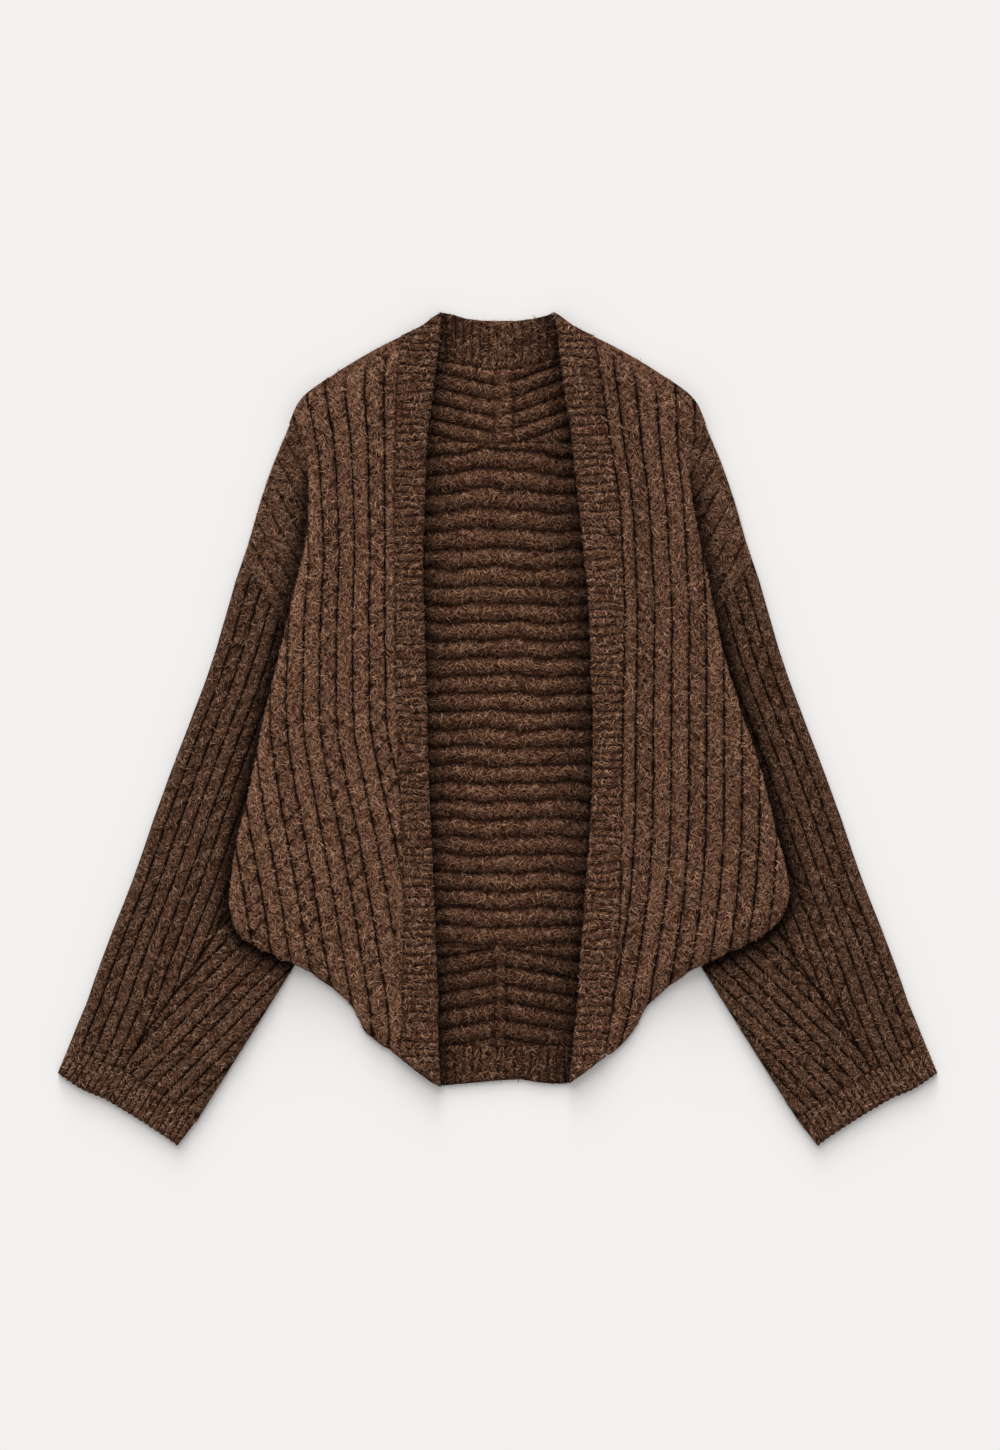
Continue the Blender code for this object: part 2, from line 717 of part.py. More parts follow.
def back_outline():
    """The back panel, whose sides lie under the sleeves."""
    top = curve([(-BODY_REACH, BACK_TOP_Y), (0.0, BACK_TOP_Y), (BODY_REACH, BACK_TOP_Y)], 25)
    side = [(BODY_REACH, 100.0), (BODY_REACH, -50.0), (BODY_REACH, BACK_FOOT_Y)]
    foot = curve([(BODY_REACH, BACK_FOOT_Y), (0.0, BACK_FOOT_Y), (-BODY_REACH, BACK_FOOT_Y)], 25)
    return joined(top, side, foot, [(-BODY_REACH, -50.0), (-BODY_REACH, 100.0)])


def make_back():
    """The lower layer between the fronts, with level ribs."""
    outline = back_outline()
    zone = zone_of(outline, SEAM_ROUND + ZONE_MARGIN, -BACK_SHOWN, BACK_SHOWN)
    knit = Knit(back_across, (1, 0), CREST, RIB_RISE, 26, zone)
    return slab("back_panel", outline, body_top(outline, [knit]), knits=[knit]), outline


def yoke_outline(side):
    """Half of the neck yoke, from the centre seam to the shoulder."""
    neck = curve(points(NECK_BAND_FOOT, "x"), 12)
    upper = [(x, y - SEAM_GAP) for x, y in neck if side * (x - CENTRE_SEAM) >= 0]
    upper.sort(key=lambda point: side * point[0])
    if side < 0:
        upper[0] = (upper[0][0] - SEAM_GAP, upper[0][1])
    end = (upper[-1][0] + side * SEAM_GAP * 2, upper[-1][1])
    shoulder = points(YOKE_SHOULDER, side=side)
    foot = [(side * BODY_REACH, BACK_TOP_Y + SEAM_GAP), (side * 75.0, BACK_TOP_Y + SEAM_GAP)]
    return joined(upper, [end], shoulder, foot, [(upper[0][0], BACK_TOP_Y + SEAM_GAP)])


def make_yoke(side):
    """Half of the neck yoke; its ribs slope down to the centre seam."""
    outline = yoke_outline(side)
    zone = zone_of(outline, SEAM_ROUND + ZONE_MARGIN, *sorted((side * 1.0, side * 84.0)))

    def across(x, y):
        return (YOKE_CENTRE_Y + YOKE_SLOPE[side] * abs(x - CENTRE_SEAM) - y) / RIB_PITCH_YOKE

    direction = (1, side * YOKE_SLOPE[side])
    knit = Knit(across, direction, CREST, RIB_RISE, 22, zone)
    name = {-1: "yoke_left", 1: "yoke_right"}[side]
    return slab(name, outline, body_top(outline, [knit]), knits=[knit]), outline


def tail_outline(side):
    """The lower end of a strip, from the centre seam to its side."""
    centre = CENTRE_SEAM - (SEAM_GAP if side < 0 else 0)
    top = [(centre, BACK_FOOT_Y - SEAM_GAP), (side * 75.0, BACK_FOOT_Y - SEAM_GAP)]
    foot = [(side * 45.0, HEM_BAND_Y + SEAM_GAP), (centre, HEM_BAND_Y + SEAM_GAP)]
    return joined(top, points(TAIL_SIDE[side], side=side), foot)


def make_tail(side):
    """The lower end of a strip, where it joins the other at the back of the hem."""
    outline = tail_outline(side)
    zone = zone_of(outline, SEAM_ROUND + ZONE_MARGIN, *sorted((side * 1.0, side * 92.0)))

    def across(x, y):
        return (BACK_FOOT_Y - TAIL_SLOPE * abs(x - CENTRE_SEAM) - y) / RIB_PITCH_BACK

    direction = (1, -side * TAIL_SLOPE)
    knit = Knit(across, direction, CREST, RIB_RISE, 22, zone)
    name = {-1: "tail_left", 1: "tail_right"}[side]
    return slab(name, outline, body_top(outline, [knit]), knits=[knit]), outline


def make_neck_band():
    """The band behind the neck, with short upright ribs."""
    outline = joined(curve(points(NECK_BAND_FOOT, "x"), 12), points(NECK_TOP, "x")[::-1])
    zone = zone_of(outline, SEAM_ROUND + ZONE_MARGIN, -64.0, 64.0)
    knit = Knit(lambda x, y: x / RIB_PITCH_BAND, (0, 1), CREST, BAND_RISE, BAND_STEP, zone)
    return slab("neck_band", outline, body_top(outline, [knit], BAND_RISE, WALL + 0.6), knits=[knit]), outline


def make_hem_band():
    """The band along the hem, with short upright ribs."""
    top = [(90.0, HEM_BAND_Y - SEAM_GAP), (45.0, HEM_BAND_Y), (0.0, HEM_BAND_Y), (-45.0, HEM_BAND_Y)]
    outline = joined(top, points(HEM_FOOT, "x"))
    zone = zone_of(outline, SEAM_ROUND + ZONE_MARGIN, -62.0, 74.0)
    knit = Knit(lambda x, y: x / RIB_PITCH_BAND, (0, 1), CREST, BAND_RISE, BAND_STEP, zone)
    return slab("hem_band", outline, body_top(outline, [knit], BAND_RISE, WALL + 0.6), knits=[knit]), outline


def arm_top(outline, knits, wall_top, plain):
    """Top of a flat tube of cloth: the fold at its sides starts half way up."""
    edge_line = outline + outline[:1]

    def top(x, y):
        share = rounding(distance_to((x, y), edge_line), SIDE_FOLD)
        relief = plain
        for knit in knits:
            if inside((x, y), knit.shown):
                relief = knit.relief(x, y)
        return ARM_EDGE_TOP + (wall_top + relief - ARM_EDGE_TOP) * share

    return top


def placed(outline, side):
    """An outline given by reach, put on its side of the garment."""
    return outline if side > 0 else mirrored(outline)


def outer_across(side):
    """Rib count of the sleeve, from its outer edge."""
    def across(x, y):
        edge = column(ARM_EDGE, "reach", y)
        return (edge - side * x) * ARM_LEAN / RIB_PITCH_ARM
    return across


def inner_across(side):
    """Rib count of the sleeve below the line of decreases."""
    def across(x, y):
        off_mitre = (side * x - MITRE_FOOT[0]) * MITRE_RIBS[1] - (y - MITRE_FOOT[1]) * MITRE_RIBS[0]
        return off_mitre / RIB_PITCH_ARM
    return across


def make_arm(side, name, runs, open_runs, knits, wall_top, plain, rings=(1.3, SIDE_FOLD)):
    """A flat tube of cloth: two walls that are joined along the folds outside open_runs."""
    outline = placed(joined(*runs), side)
    piece = slab(name, outline, arm_top(outline, knits, wall_top, plain), rings, knits)
    slit = placed(slit_outline(runs, open_runs), side)
    cut(piece, prism(name + "_slit", slit, WALL, WALL + SLIT))
    return piece, outline


def sleeve_knits(side):
    """Ribs along the outer edge, and a slanted family below the mitre."""
    fold = [(reach - UNDER_FRONT, y) for reach, y in points(FOLD[side])]
    upper = [p for p in fold if -150 < p[1] < 66]
    edge = [(reach - ZONE_EDGE, y) for reach, y in arm_edge_run(134.0, -268.0, 22)]
    outer = edge + points(ARM_ZONE_FOOT) + upper[::-1] + points(ARM_ZONE_TOP)
    families = []
    for zone, across, direction in (
        (outer, outer_across(side), ARM_RIBS),
        (points(MITRE_ZONE), inner_across(side), MITRE_RIBS),
    ):
        lay = (side * direction[0], direction[1])
        families.append(Knit(across, lay, STRANDS, RIB_RISE, CABLE_TURN / 2, placed(zone, side), side))
    return families


def make_sleeve(side):
    """A sleeve that tapers to the cuff."""
    name = {-1: "sleeve_left", 1: "sleeve_right"}[side]
    return make_arm(side, name, sleeve_runs(), (1, 3), sleeve_knits(side), ARM_WALL_TOP, 0.8 * RIB_RISE)


def make_shoulder(side):
    """The shoulder of the front strip, where it wraps round above the dropped seam."""
    name = {-1: "shoulder_left", 1: "shoulder_right"}[side]
    edge = [(reach - ZONE_EDGE, y) for reach, y in arm_edge_run(264.0, 156.0, 18)]
    zone = edge + points(CAP_ZONE)

    def across(x, y):
        return (y * CAP_RIBS[0] - side * x * CAP_RIBS[1]) / RIB_PITCH_CAP

    lay = (side * CAP_RIBS[0], CAP_RIBS[1])
    knit = Knit(across, lay, STRANDS, RIB_RISE, CABLE_TURN / 2, placed(zone, side), -side)
    return make_arm(side, name, cap_runs(), (1, 2), [knit], ARM_WALL_TOP, 0.8 * RIB_RISE)


def make_cuff(side):
    """A short cuff with fine ribs."""
    name = {-1: "cuff_left", 1: "cuff_right"}[side]
    runs = cuff_runs()
    outline = joined(*runs)

    def across(x, y):
        return (y * CUFF_RIBS[0] - side * x * CUFF_RIBS[1]) / RIB_PITCH_CUFF

    zone = placed(ring_inside(outline, SIDE_FOLD + ZONE_MARGIN), side)
    lay = (side * CUFF_RIBS[0], CUFF_RIBS[1])
    knit = Knit(across, lay, CREST, CUFF_RISE, BAND_STEP, zone)
    return make_arm(side, name, runs, (1, 3), [knit], ARM_WALL_TOP, CUFF_RISE)


def front_top(side, outline, knits):
    """Top of a front strip: flat by the band, rising in a soft fold over the sleeve."""
    fold_line = points(SHOULDER, side=side) + curve(points(FOLD[side], side=side), 13)
    seam_line = [(side * column(FRONT[side], "seam", y), y) for y in range(360, -300, -20)]

    def top(x, y):
        reach = side * x
        rows = FRONT[side]
        depth = arm_depth(reach, y)
        over_arm = smooth_step((depth + RISE_RUN) / RISE_RUN)
        off_seam = reach - column(rows, "seam", y)
        swell = column(rows, "swell", y) * smooth_step((off_seam - SWELL_START) / SWELL_RUN)
        deck = OVER_BODY + WALL + (OVER_ARM - OVER_BODY) * over_arm + swell
        edge = LIP_EDGE + (OVER_ARM_EDGE - LIP_EDGE) * smooth_step((depth + EDGE_RUN) / EDGE_RUN)
        fold_gap = distance_to((x, y), fold_line)
        fold = rounding(fold_gap, FOLD_ROUND)
        seam = SEAM_SINK + (1 - SEAM_SINK) * rounding(distance_to((x, y), seam_line), SEAM_ROUND)
        relief = sum(knit.relief(x, y) for knit in knits) * smooth_step(fold_gap / 4)
        return edge + (deck - edge + relief) * min(fold, seam)

    return top


def front_across(side):
    """Rib count of a front strip, from its band."""
    def across(x, y):
        rows = FRONT[side]
        off_seam = side * x - column(rows, "seam", y)
        return (off_seam + column(rows, "slip", y)) / column(rows, "pitch", y) + 1 - FIRST_GROOVE[side]
    return across


def make_front(side):
    """A front strip of cable ribs that folds over the sleeve."""
    outline = front_outline(side)
    zone = ring_inside(outline, SEAM_ROUND + ZONE_MARGIN)
    knit = Knit(front_across(side), (0, -1), STRANDS, RIB_RISE, CABLE_TURN / 2, zone, -1 if side < 0 else 1)
    name = {-1: "front_left", 1: "front_right"}[side]
    return slab(name, outline, front_top(side, outline, [knit]), (SEAM_ROUND, 8.0), [knit]), outline


def make_front_band(side):
    """A front band with short ribs across it."""
    outline = band_outline(side)
    edge_line = outline + outline[:1]
    zone = ring_inside(outline, SEAM_ROUND + ZONE_MARGIN)
    knit = Knit(lambda x, y: y / RIB_PITCH_BAND, (1, 0), CREST, BAND_RISE, BAND_STEP, zone)

    def top(x, y):
        share = rounding(distance_to((x, y), edge_line), SEAM_ROUND)
        edge = OVER_BODY + BAND_EDGE
        return edge + (OVER_BODY + WALL + BAND_EXTRA + knit.relief(x, y) - edge) * share

    name = {-1: "front_band_left", 1: "front_band_right"}[side]
    return slab(name, outline, top, (SEAM_ROUND,), [knit]), outline


def make_garment():
    """All pieces; the upper ones give way to the ones they lie on."""
    outer = material("brushed_cable_knit", CLOTH_BROWN)
    sleeve = material("brushed_cable_knit_sleeve", SLEEVE_BROWN)
    inner = material("brushed_knit_inside", INSIDE_BROWN)
    body, arms, uppers = [make_back(), make_neck_band(), make_hem_band()], [], []
    for side in (-1, 1):
        body += [make_yoke(side), make_tail(side)]
        arms += [make_shoulder(side), make_sleeve(side), make_cuff(side)]
        uppers += [make_front(side), make_front_band(side)]
    spaces = []
    for piece, outline in body:
        finish(piece, inner)
        spaces.append(prism(piece.name + "_space", moved_in(outline, -LAYER_GAP), -5.0, OVER_BODY))
    for piece, outline in arms:
        finish(piece, sleeve)
        if not piece.name.startswith("cuff"):
            spaces.append(prism(piece.name + "_space", moved_in(outline, -LAYER_GAP), -5.0, OVER_ARM))
    for piece, outline in uppers:
        finish(piece, outer)
        for space in spaces:
            far_side = {"left": "right", "right": "left"}[piece.name.split("_")[-1]]
            if far_side not in space.name:
                cut(piece, space)


for old in list(bpy.data.objects):
    bpy.data.objects.remove(old, do_unlink=True)
PIECES = bpy.data.collections.new("cable_knit_cardigan")
CUTTERS = bpy.data.collections.new("cutters")
for group in (PIECES, CUTTERS):
    bpy.context.scene.collection.children.link(group)
make_garment()
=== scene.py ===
"""Open-front cable knit cardigan laid flat: its brushed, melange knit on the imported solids.

Every piece of cloth is a closed shell whose top follows the ribs and cables of the knit and whose
underside lies on what carries it. Sizes are in millimetres; "reach" is the distance from the centre
line to either side, and side is -1 for the left and 1 for the right of the view from above.
"""
from math import hypot, pi

import bmesh
import bpy
import numpy as np
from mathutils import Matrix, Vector
from mathutils.geometry import delaunay_2d_cdt


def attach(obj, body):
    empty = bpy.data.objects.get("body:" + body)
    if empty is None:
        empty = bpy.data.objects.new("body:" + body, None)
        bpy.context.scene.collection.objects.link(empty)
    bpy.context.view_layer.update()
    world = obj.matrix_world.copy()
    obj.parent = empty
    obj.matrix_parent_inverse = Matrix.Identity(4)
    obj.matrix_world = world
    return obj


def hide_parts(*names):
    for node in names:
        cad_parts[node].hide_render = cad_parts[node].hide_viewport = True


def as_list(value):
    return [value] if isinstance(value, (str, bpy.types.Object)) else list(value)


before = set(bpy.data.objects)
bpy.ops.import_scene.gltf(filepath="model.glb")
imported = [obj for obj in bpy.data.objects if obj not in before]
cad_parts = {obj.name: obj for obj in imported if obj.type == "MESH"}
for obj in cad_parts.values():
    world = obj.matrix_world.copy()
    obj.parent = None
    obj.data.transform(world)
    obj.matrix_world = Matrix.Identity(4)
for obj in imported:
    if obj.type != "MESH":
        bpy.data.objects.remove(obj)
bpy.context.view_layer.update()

MM = 0.001

# Knitted cloth
WALL = 3.0
RIB_RISE = 2.2            # ribs stand this high over the plain height of a layer
GROOVE_DEPTH = 1.9        # and their grooves sink this far under it
CABLE_TURN = 19.0         # length of rib from one crossing of its two strands to the next
CABLE_LEAN = 0.8          # how far a crossing leans from one side of a rib to the other, in turns
CABLE_SHIFT = 0.37        # and how far each rib's crossings lie past the last one's
SEAM_GAP = 0.12           # cloth ends this short of a seam

# Layers
SLIT = 0.8                # between the two walls of a flat tube
ARM_WALL_TOP = 2 * WALL + SLIT
BODY_TOP = WALL + RIB_RISE
ARM_TOP = ARM_WALL_TOP + RIB_RISE
LAYER_GAP = 0.35
OVER_BODY = BODY_TOP + LAYER_GAP
OVER_ARM = ARM_TOP + LAYER_GAP
SIDE_FOLD = 4.0           # cloth left beside the slit, where a tube folds round

# Shade on cloth beside an edge that lies over it: depth, where its fading starts, how far it fades and
# with which power
BAND_SHADE = {-1: (0.84, 0.0, 16.0, 1.0), 1: (0.84, 0.0, 22.0, 1.0)}
FOLD_SHADE = (0.80, 3.5, 9.5, 1.5)
HEAD_SHADE = 0.8          # share of a fold's shade that is gone at the shoulders
BARE_EDGE = 3.0           # fibres grow this far in under a front

# Light on each area, as a share of its base colour
BACK_LIGHT, YOKE_LIGHT, TAIL_LIGHT, HEM_LIGHT, NECK_LIGHT = 0.93, 1.0, 0.74, 0.87, 0.96
CAP_LIGHT, CUFF_LIGHT = 1.01, 1.0
ARM_LIGHT = {-1: 0.86, 1: 0.80}
FRONT_LIGHT = {-1: 1.0, 1: 0.90}
BAND_LIGHT = {-1: 0.83, 1: 0.89}
FOLD_CREST = (0.28, 3.0, 3.5)     # light gained on a fold's crest, its distance from the edge and width

# Relief of folds and edges
PUFF = (1.8, 16.0, 11.0)          # height, distance and width of the cloth that stands up inside a fold
TUCK = 3.3                        # a sleeve sinks this much beside the fold of a front
CAP_TUCK = 1.6                    # and a shoulder this much
TUCK_BESIDE, TUCK_UNDER = 8.0, 4.0      # over this distance beside the fold, and in under it
HEAD_FOOT, HEAD_BLEND = 200.0, 46.0     # a fold merges into the sleeve from here up, over this height
SCALLOP = 1.9                     # the edge of a fold moves in and out by this much with its ribs
SCALLOP_MEAN = 0.6                # share of it that lies inside the fold's line
CUFF_TOOTH = 0.45                 # and the edge of a cuff by this much to either side
FOLD_ROUND = 12.0                 # width of the rounded edge of a fold
SEAM_ROUND = 2.6                  # and of the edge at a seam

# Heights of the edges
SEAM_EDGE = 2.2
ARM_EDGE_TOP = 3.6
LIP_EDGE = 3.6
OVER_ARM_EDGE = OVER_ARM + 1.6

# Places
BODY_REACH = 151.2
ARM_LINE = 152.0
ARMPIT_Y = -166.0
INNER_SLOPE = (0.846, 0.532)       # unit vector across the sleeve's inner edge
CENTRE_SEAM = 1.8
CENTRE_GAP = 0.02
# Middle, half width and height of the ridge along the centre seam
YOKE_RIDGE = (5.5, 11.0, 3.0)
TAIL_RIDGE = (2.4, 6.0, 3.4)

RIB_PITCH_ARM = 11.4
RIB_PITCH_CAP = 14.0
RIB_PITCH_BACK = 15.8
RIB_PITCH_BAND = 7.4
RIB_PITCH_CUFF = 5.6
RIB_PITCH_YOKE = 14.0
RIB_PITCH_FRONT = 15.0             # nominal; each front's table gives the pitch at each height

# Outlines
SAME_POINT = 0.2                   # points closer than this are one
ALMOST_STRAIGHT = 0.15             # sine of a turn too small for a corner
SHARP = 0.4                        # sine of a turn that keeps its corner
RIM_GAP = 0.45                     # a grid's points stay this far inside the outline
FLOOR_GAP = 2.2                    # and those of the underside this far
FLOOR_STEP, CUFF_FLOOR_STEP = 9.0, 6.0      # between the points of an underside
RUN_STEP = 3.0                     # between the points of an outline
COLUMN_STEPS = 24                  # between two rows of a table
GATHER = 0.108                     # share of a rib by which columns are drawn towards its grooves
FAR = 1e9                          # more than any distance here


def table(names, *rows):
    """A list of rows, each a dictionary with the given column names."""
    return [dict(zip(names.split(), row)) for row in rows]


# Each front at a height y: reach of its opening and of the seam to its band, width of a rib, how far the
# ribs have slid under the band, and the extra height of the soft fold beside the sleeve
FRONT = {
    -1: table(
        "y opening seam pitch slip swell",
        (368, 48.6, 83.0, 17.6, 0, 0.0),
        (345, 50.5, 84.9, 17.6, 0, 0.5),
        (300, 56.5, 88.6, 17.2, 0, 1.0),
        (250, 62.0, 89.5, 14.8, 0, 1.5),
        (200, 63.8, 90.2, 13.8, 0, 2.0),
        (150, 65.6, 90.2, 13.4, 0, 2.5),
        (100, 64.5, 90.0, 14.0, 0, 3.0),
        (50, 63.0, 89.0, 14.4, 0, 3.5),
        (0, 61.8, 87.5, 14.6, 0, 4.0),
        (-50, 60.4, 85.5, 15.2, 9, 4.6),
        (-100, 58.0, 83.5, 15.6, 19, 5.0),
        (-150, 56.0, 82.3, 15.6, 27, 5.0),
        (-200, 54.0, 82.3, 15.6, 35, 4.4),
        (-250, 52.3, 83.0, 15.4, 43, 3.0),
        (-290, 51.5, 87.0, 15.4, 48, 1.6),
        (-320, 49.5, 90.0, 15.4, 50, 1.0),
    ),
    1: table(
        "y opening seam pitch slip swell",
        (368, 51.5, 83.0, 17.4, 0, 0.0),
        (345, 53.4, 84.9, 17.4, 0, 0.5),
        (300, 58.5, 91.5, 17.0, 0, 1.0),
        (250, 65.8, 99.0, 15.6, 0, 1.5),
        (200, 71.3, 106.5, 14.8, 0, 2.0),
        (150, 76.5, 109.5, 14.8, 0, 2.5),
        (100, 80.6, 111.3, 15.0, 0, 3.0),
        (50, 82.5, 110.3, 15.2, 0, 3.5),
        (0, 84.0, 109.4, 15.4, 0, 4.0),
        (-50, 83.3, 109.0, 15.5, 0, 4.6),
        (-100, 80.8, 108.6, 15.6, 1, 5.0),
        (-150, 77.0, 107.8, 15.6, 4, 5.0),
        (-200, 73.0, 104.5, 15.6, 8, 4.4),
        (-250, 69.8, 100.0, 15.5, 12, 3.0),
        (-290, 65.5, 93.5, 15.5, 16, 1.6),
        (-320, 62.5, 89.0, 15.5, 18, 1.0),
    ),
}
FIRST_GROOVE = {-1: 0.65, 1: 0.80}      # place of the first groove beside the seam, in ribs
# Outer edge of each front, from the shoulder down and round to the hem
FOLD = {
    -1: table(
        "reach y",
        (181.7, 272.4), (182.8, 268.6), (181.0, 264.0), (176.6, 257.0), (172.9, 249.5), (167.6, 234.5),
        (166.0, 199.0), (168.5, 165.0), (174.7, 136.8), (182.6, 105.2), (190.5, 70.8), (203.7, 17.2),
        (216.9, -48.0), (230.1, -104.3), (235.0, -142.0), (235.4, -160.0), (227.5, -180.0),
        (209.0, -193.2), (179.0, -206.8), (158.0, -219.6), (133.3, -238.9), (122.8, -254.8),
        (114.8, -268.8), (92.8, -284.7),
    ),
    1: table(
        "reach y",
        (181.7, 272.4), (182.8, 268.6), (181.2, 264.0), (177.2, 257.5), (174.0, 252.0), (169.0, 236.0),
        (170.3, 206.4), (177.3, 168.5), (188.8, 113.1), (199.3, 64.7), (213.4, 17.2), (229.2, -28.6),
        (243.3, -82.3), (253.9, -125.4), (256.5, -147.4), (251.2, -163.2), (235.4, -180.0),
        (210.8, -193.2), (180.0, -207.6), (170.3, -213.4), (151.8, -226.6), (132.4, -244.2),
        (121.9, -262.7), (108.7, -279.4), (97.5, -287.4),
    ),
}
BAND_FOOT = {
    -1: table("reach y", (92.0, -285.2), (74.4, -299.6), (57.6, -312.0), (50.0, -315.5)),
    1: table("reach y", (95.5, -288.8), (86.7, -295.2), (74.0, -305.0), (62.9, -312.6)),
}
CREASE = {-1: (-90.0, -262.0, 3.2), 1: (-200.0, -290.0, 1.6)}      # upper end, lower end and depth
SHOULDER = table(
    "reach y",
    (84.9, 345.4), (106.0, 334.8), (133.3, 319.0), (154.4, 304.9), (168.5, 294.4), (176.4, 284.7),
    (181.7, 272.4),
)
BAND_TOP = table("reach y", (49.2, 366.2), (56.0, 362.6), (67.3, 354.2), (84.5, 345.8))
ARM_EDGE = table(
    "y reach",
    (290, 173.0), (272, 181.8), (233, 197.5), (200, 209.0), (162, 219.8), (132, 230.2), (95, 240.8),
    (58, 252.0), (14, 268.0), (-34, 286.3), (-80, 303.2), (-134, 321.8), (-190, 343.6), (-242, 362.0),
    (-276, 376.2), (-310, 390.0),
)
CUFF_EDGE = table(
    "reach y",
    (387.5, -303.5), (367.4, -317.2), (347.2, -326.0), (330.4, -335.7), (314.6, -345.4),
    (294.4, -358.6), (282.0, -367.4),
)
CUFF_SEAM = table(
    "reach y",
    (376.3, -276.2), (352.0, -291.5), (331.7, -300.3), (314.9, -310.0), (299.1, -319.7),
    (278.9, -332.9), (263.7, -343.7),
)
SLEEVE_INNER = table("reach y", (263.7, -343.7), (221.0, -276.0), (179.0, -209.0), (152.0, -166.0))
ARM_SEAM = table("reach y", (152.0, -166.0), (152.0, -80.0), (158.0, 0.0), (182.6, 78.0), (224.3, 148.5))
CAP_TOP = table("reach y", (182.0, 270.2), (171.0, 271.5), (163.0, 283.0), (152.0, 292.0))
MITRE = table("y reach", (-60, 176.8), (-98, 200.0), (-163.2, 239.8), (-318, 337.5), (-360, 364.0))
SEAM_Y = 148.5
SEAM_TOP = 340
SEAM_FOOT = -285
BACK_TOP_Y = 252.0
BACK_FOOT_Y = -193.0
HEM_BAND_Y = -280.2
YOKE_CENTRE_Y = 316.0
NECK_BAND_FOOT = table(
    "x y",
    (-76.0, 327.3), (-51.0, 323.6), (-9.0, 317.0), (CENTRE_SEAM, 316.4), (16.0, 316.6), (50.0, 325.4),
    (76.0, 331.0),
)
NECK_TOP = table(
    "x y",
    (-76.0, 341.0), (-66.0, 347.5), (-57.0, 355.0), (-52.6, 361.8), (-50.0, 366.0), (-47.5, 366.6),
    (-44.0, 365.8), (-37.4, 364.3), (-28.0, 361.5), (-14.0, 359.6), (16.0, 359.4), (30.0, 361.0),
    (42.7, 363.9), (47.0, 365.6), (51.0, 366.7), (53.8, 364.0), (57.0, 358.0), (66.0, 349.5),
    (76.0, 341.0),
)
YOKE_SHOULDER = table("reach y", (77.0, 338.2), (100.0, 328.4), (129.0, 311.4), (BODY_REACH, 296.0))
YOKE_SLOPE = {-1: 0.22, 1: 0.36}
TAIL_SLOPE = 0.175
TAIL_SIDE = {
    -1: table(
        "reach y",
        (BODY_REACH, BACK_FOOT_Y - SEAM_GAP), (149.8, -213.0), (127.5, -231.5), (115.5, -250.0),
        (107.0, -265.0), (93.0, -276.0), (88.0, -279.9),
    ),
    1: table(
        "reach y",
        (BODY_REACH, BACK_FOOT_Y - SEAM_GAP), (151.0, -212.0), (144.5, -220.5), (126.0, -238.5),
        (114.8, -258.0), (104.0, -271.0), (95.0, -279.9),
    ),
}
HEM_FOOT = table(
    "x y",
    (-84.0, -280.5), (-72.0, -294.0), (-62.0, -305.0), (-55.0, -310.8), (-50.6, -314.4), (-47.6, -314.7),
    (-26.0, -312.8), (2.0, -310.2), (20.0, -309.3), (37.0, -312.0), (49.0, -313.2), (60.4, -312.8),
    (63.5, -311.6), (67.0, -308.0), (75.0, -301.0), (84.0, -288.6), (90.0, -280.5),
)
SIDE_NAME = {-1: "left", 1: "right"}


# Lines ------------------------------------------------------------------------------------------

def points(rows, across="reach", side=1):
    """The plan points of a table's rows."""
    return [(side * row[across], row["y"]) for row in rows]


def cubic(before, start, end, after, share):
    """Catmull-Rom value between start and end."""
    slope_a, slope_b = (end - before) / 2, (after - start) / 2
    square, cube = share * share, share ** 3
    return ((2 * cube - 3 * square + 1) * start + (cube - 2 * square + share) * slope_a
            + (3 * square - 2 * cube) * end + (cube - square) * slope_b)


def column(rows, name):
    """A smooth function of y from a column of a table whose rows run down in y."""
    heights, values = [], []
    for at in range(len(rows) - 1):
        upper, lower = rows[at], rows[at + 1]
        before, after = rows[max(at - 1, 0)][name], rows[min(at + 2, len(rows) - 1)][name]
        for share in np.linspace(0, 1, COLUMN_STEPS + 1)[:-1]:
            heights.append(upper["y"] + (lower["y"] - upper["y"]) * share)
            values.append(cubic(before, upper[name], lower[name], after, share))
    heights.append(rows[-1]["y"])
    values.append(rows[-1][name])
    return lambda y: np.interp(-np.asarray(y, float), -np.array(heights, float), values)


def curve(control, spacing=3.0):
    """Points about spacing apart along a smooth line through the control points."""
    line = [control[0]]
    last = len(control) - 1
    for at in range(last):
        a, b = control[at], control[at + 1]
        before, after = control[max(at - 1, 0)], control[min(at + 2, last)]
        steps = max(1, round(hypot(b[0] - a[0], b[1] - a[1]) / spacing))
        for step in range(1, steps + 1):
            line.append(tuple(cubic(before[i], a[i], b[i], after[i], step / steps) for i in (0, 1)))
    return line


def twice_area(outline):
    """Twice the area of a closed outline, negative where it runs clockwise."""
    return sum(a[0] * b[1] - b[0] * a[1] for a, b in zip(outline, outline[1:] + outline[:1]))


def joined(*runs):
    """One closed outline from runs that follow each other, counter-clockwise."""
    outline = []
    for run in runs:
        for point in run:
            if not outline or hypot(point[0] - outline[-1][0], point[1] - outline[-1][1]) > SAME_POINT:
                outline.append(point)
    if hypot(outline[0][0] - outline[-1][0], outline[0][1] - outline[-1][1]) < SAME_POINT:
        outline.pop()
    return outline if twice_area(outline) > 0 else outline[::-1]


def placed(outline, side):
    """An outline given by reach, put on its side of the garment."""
    return outline if side > 0 else [(-x, y) for x, y in outline][::-1]


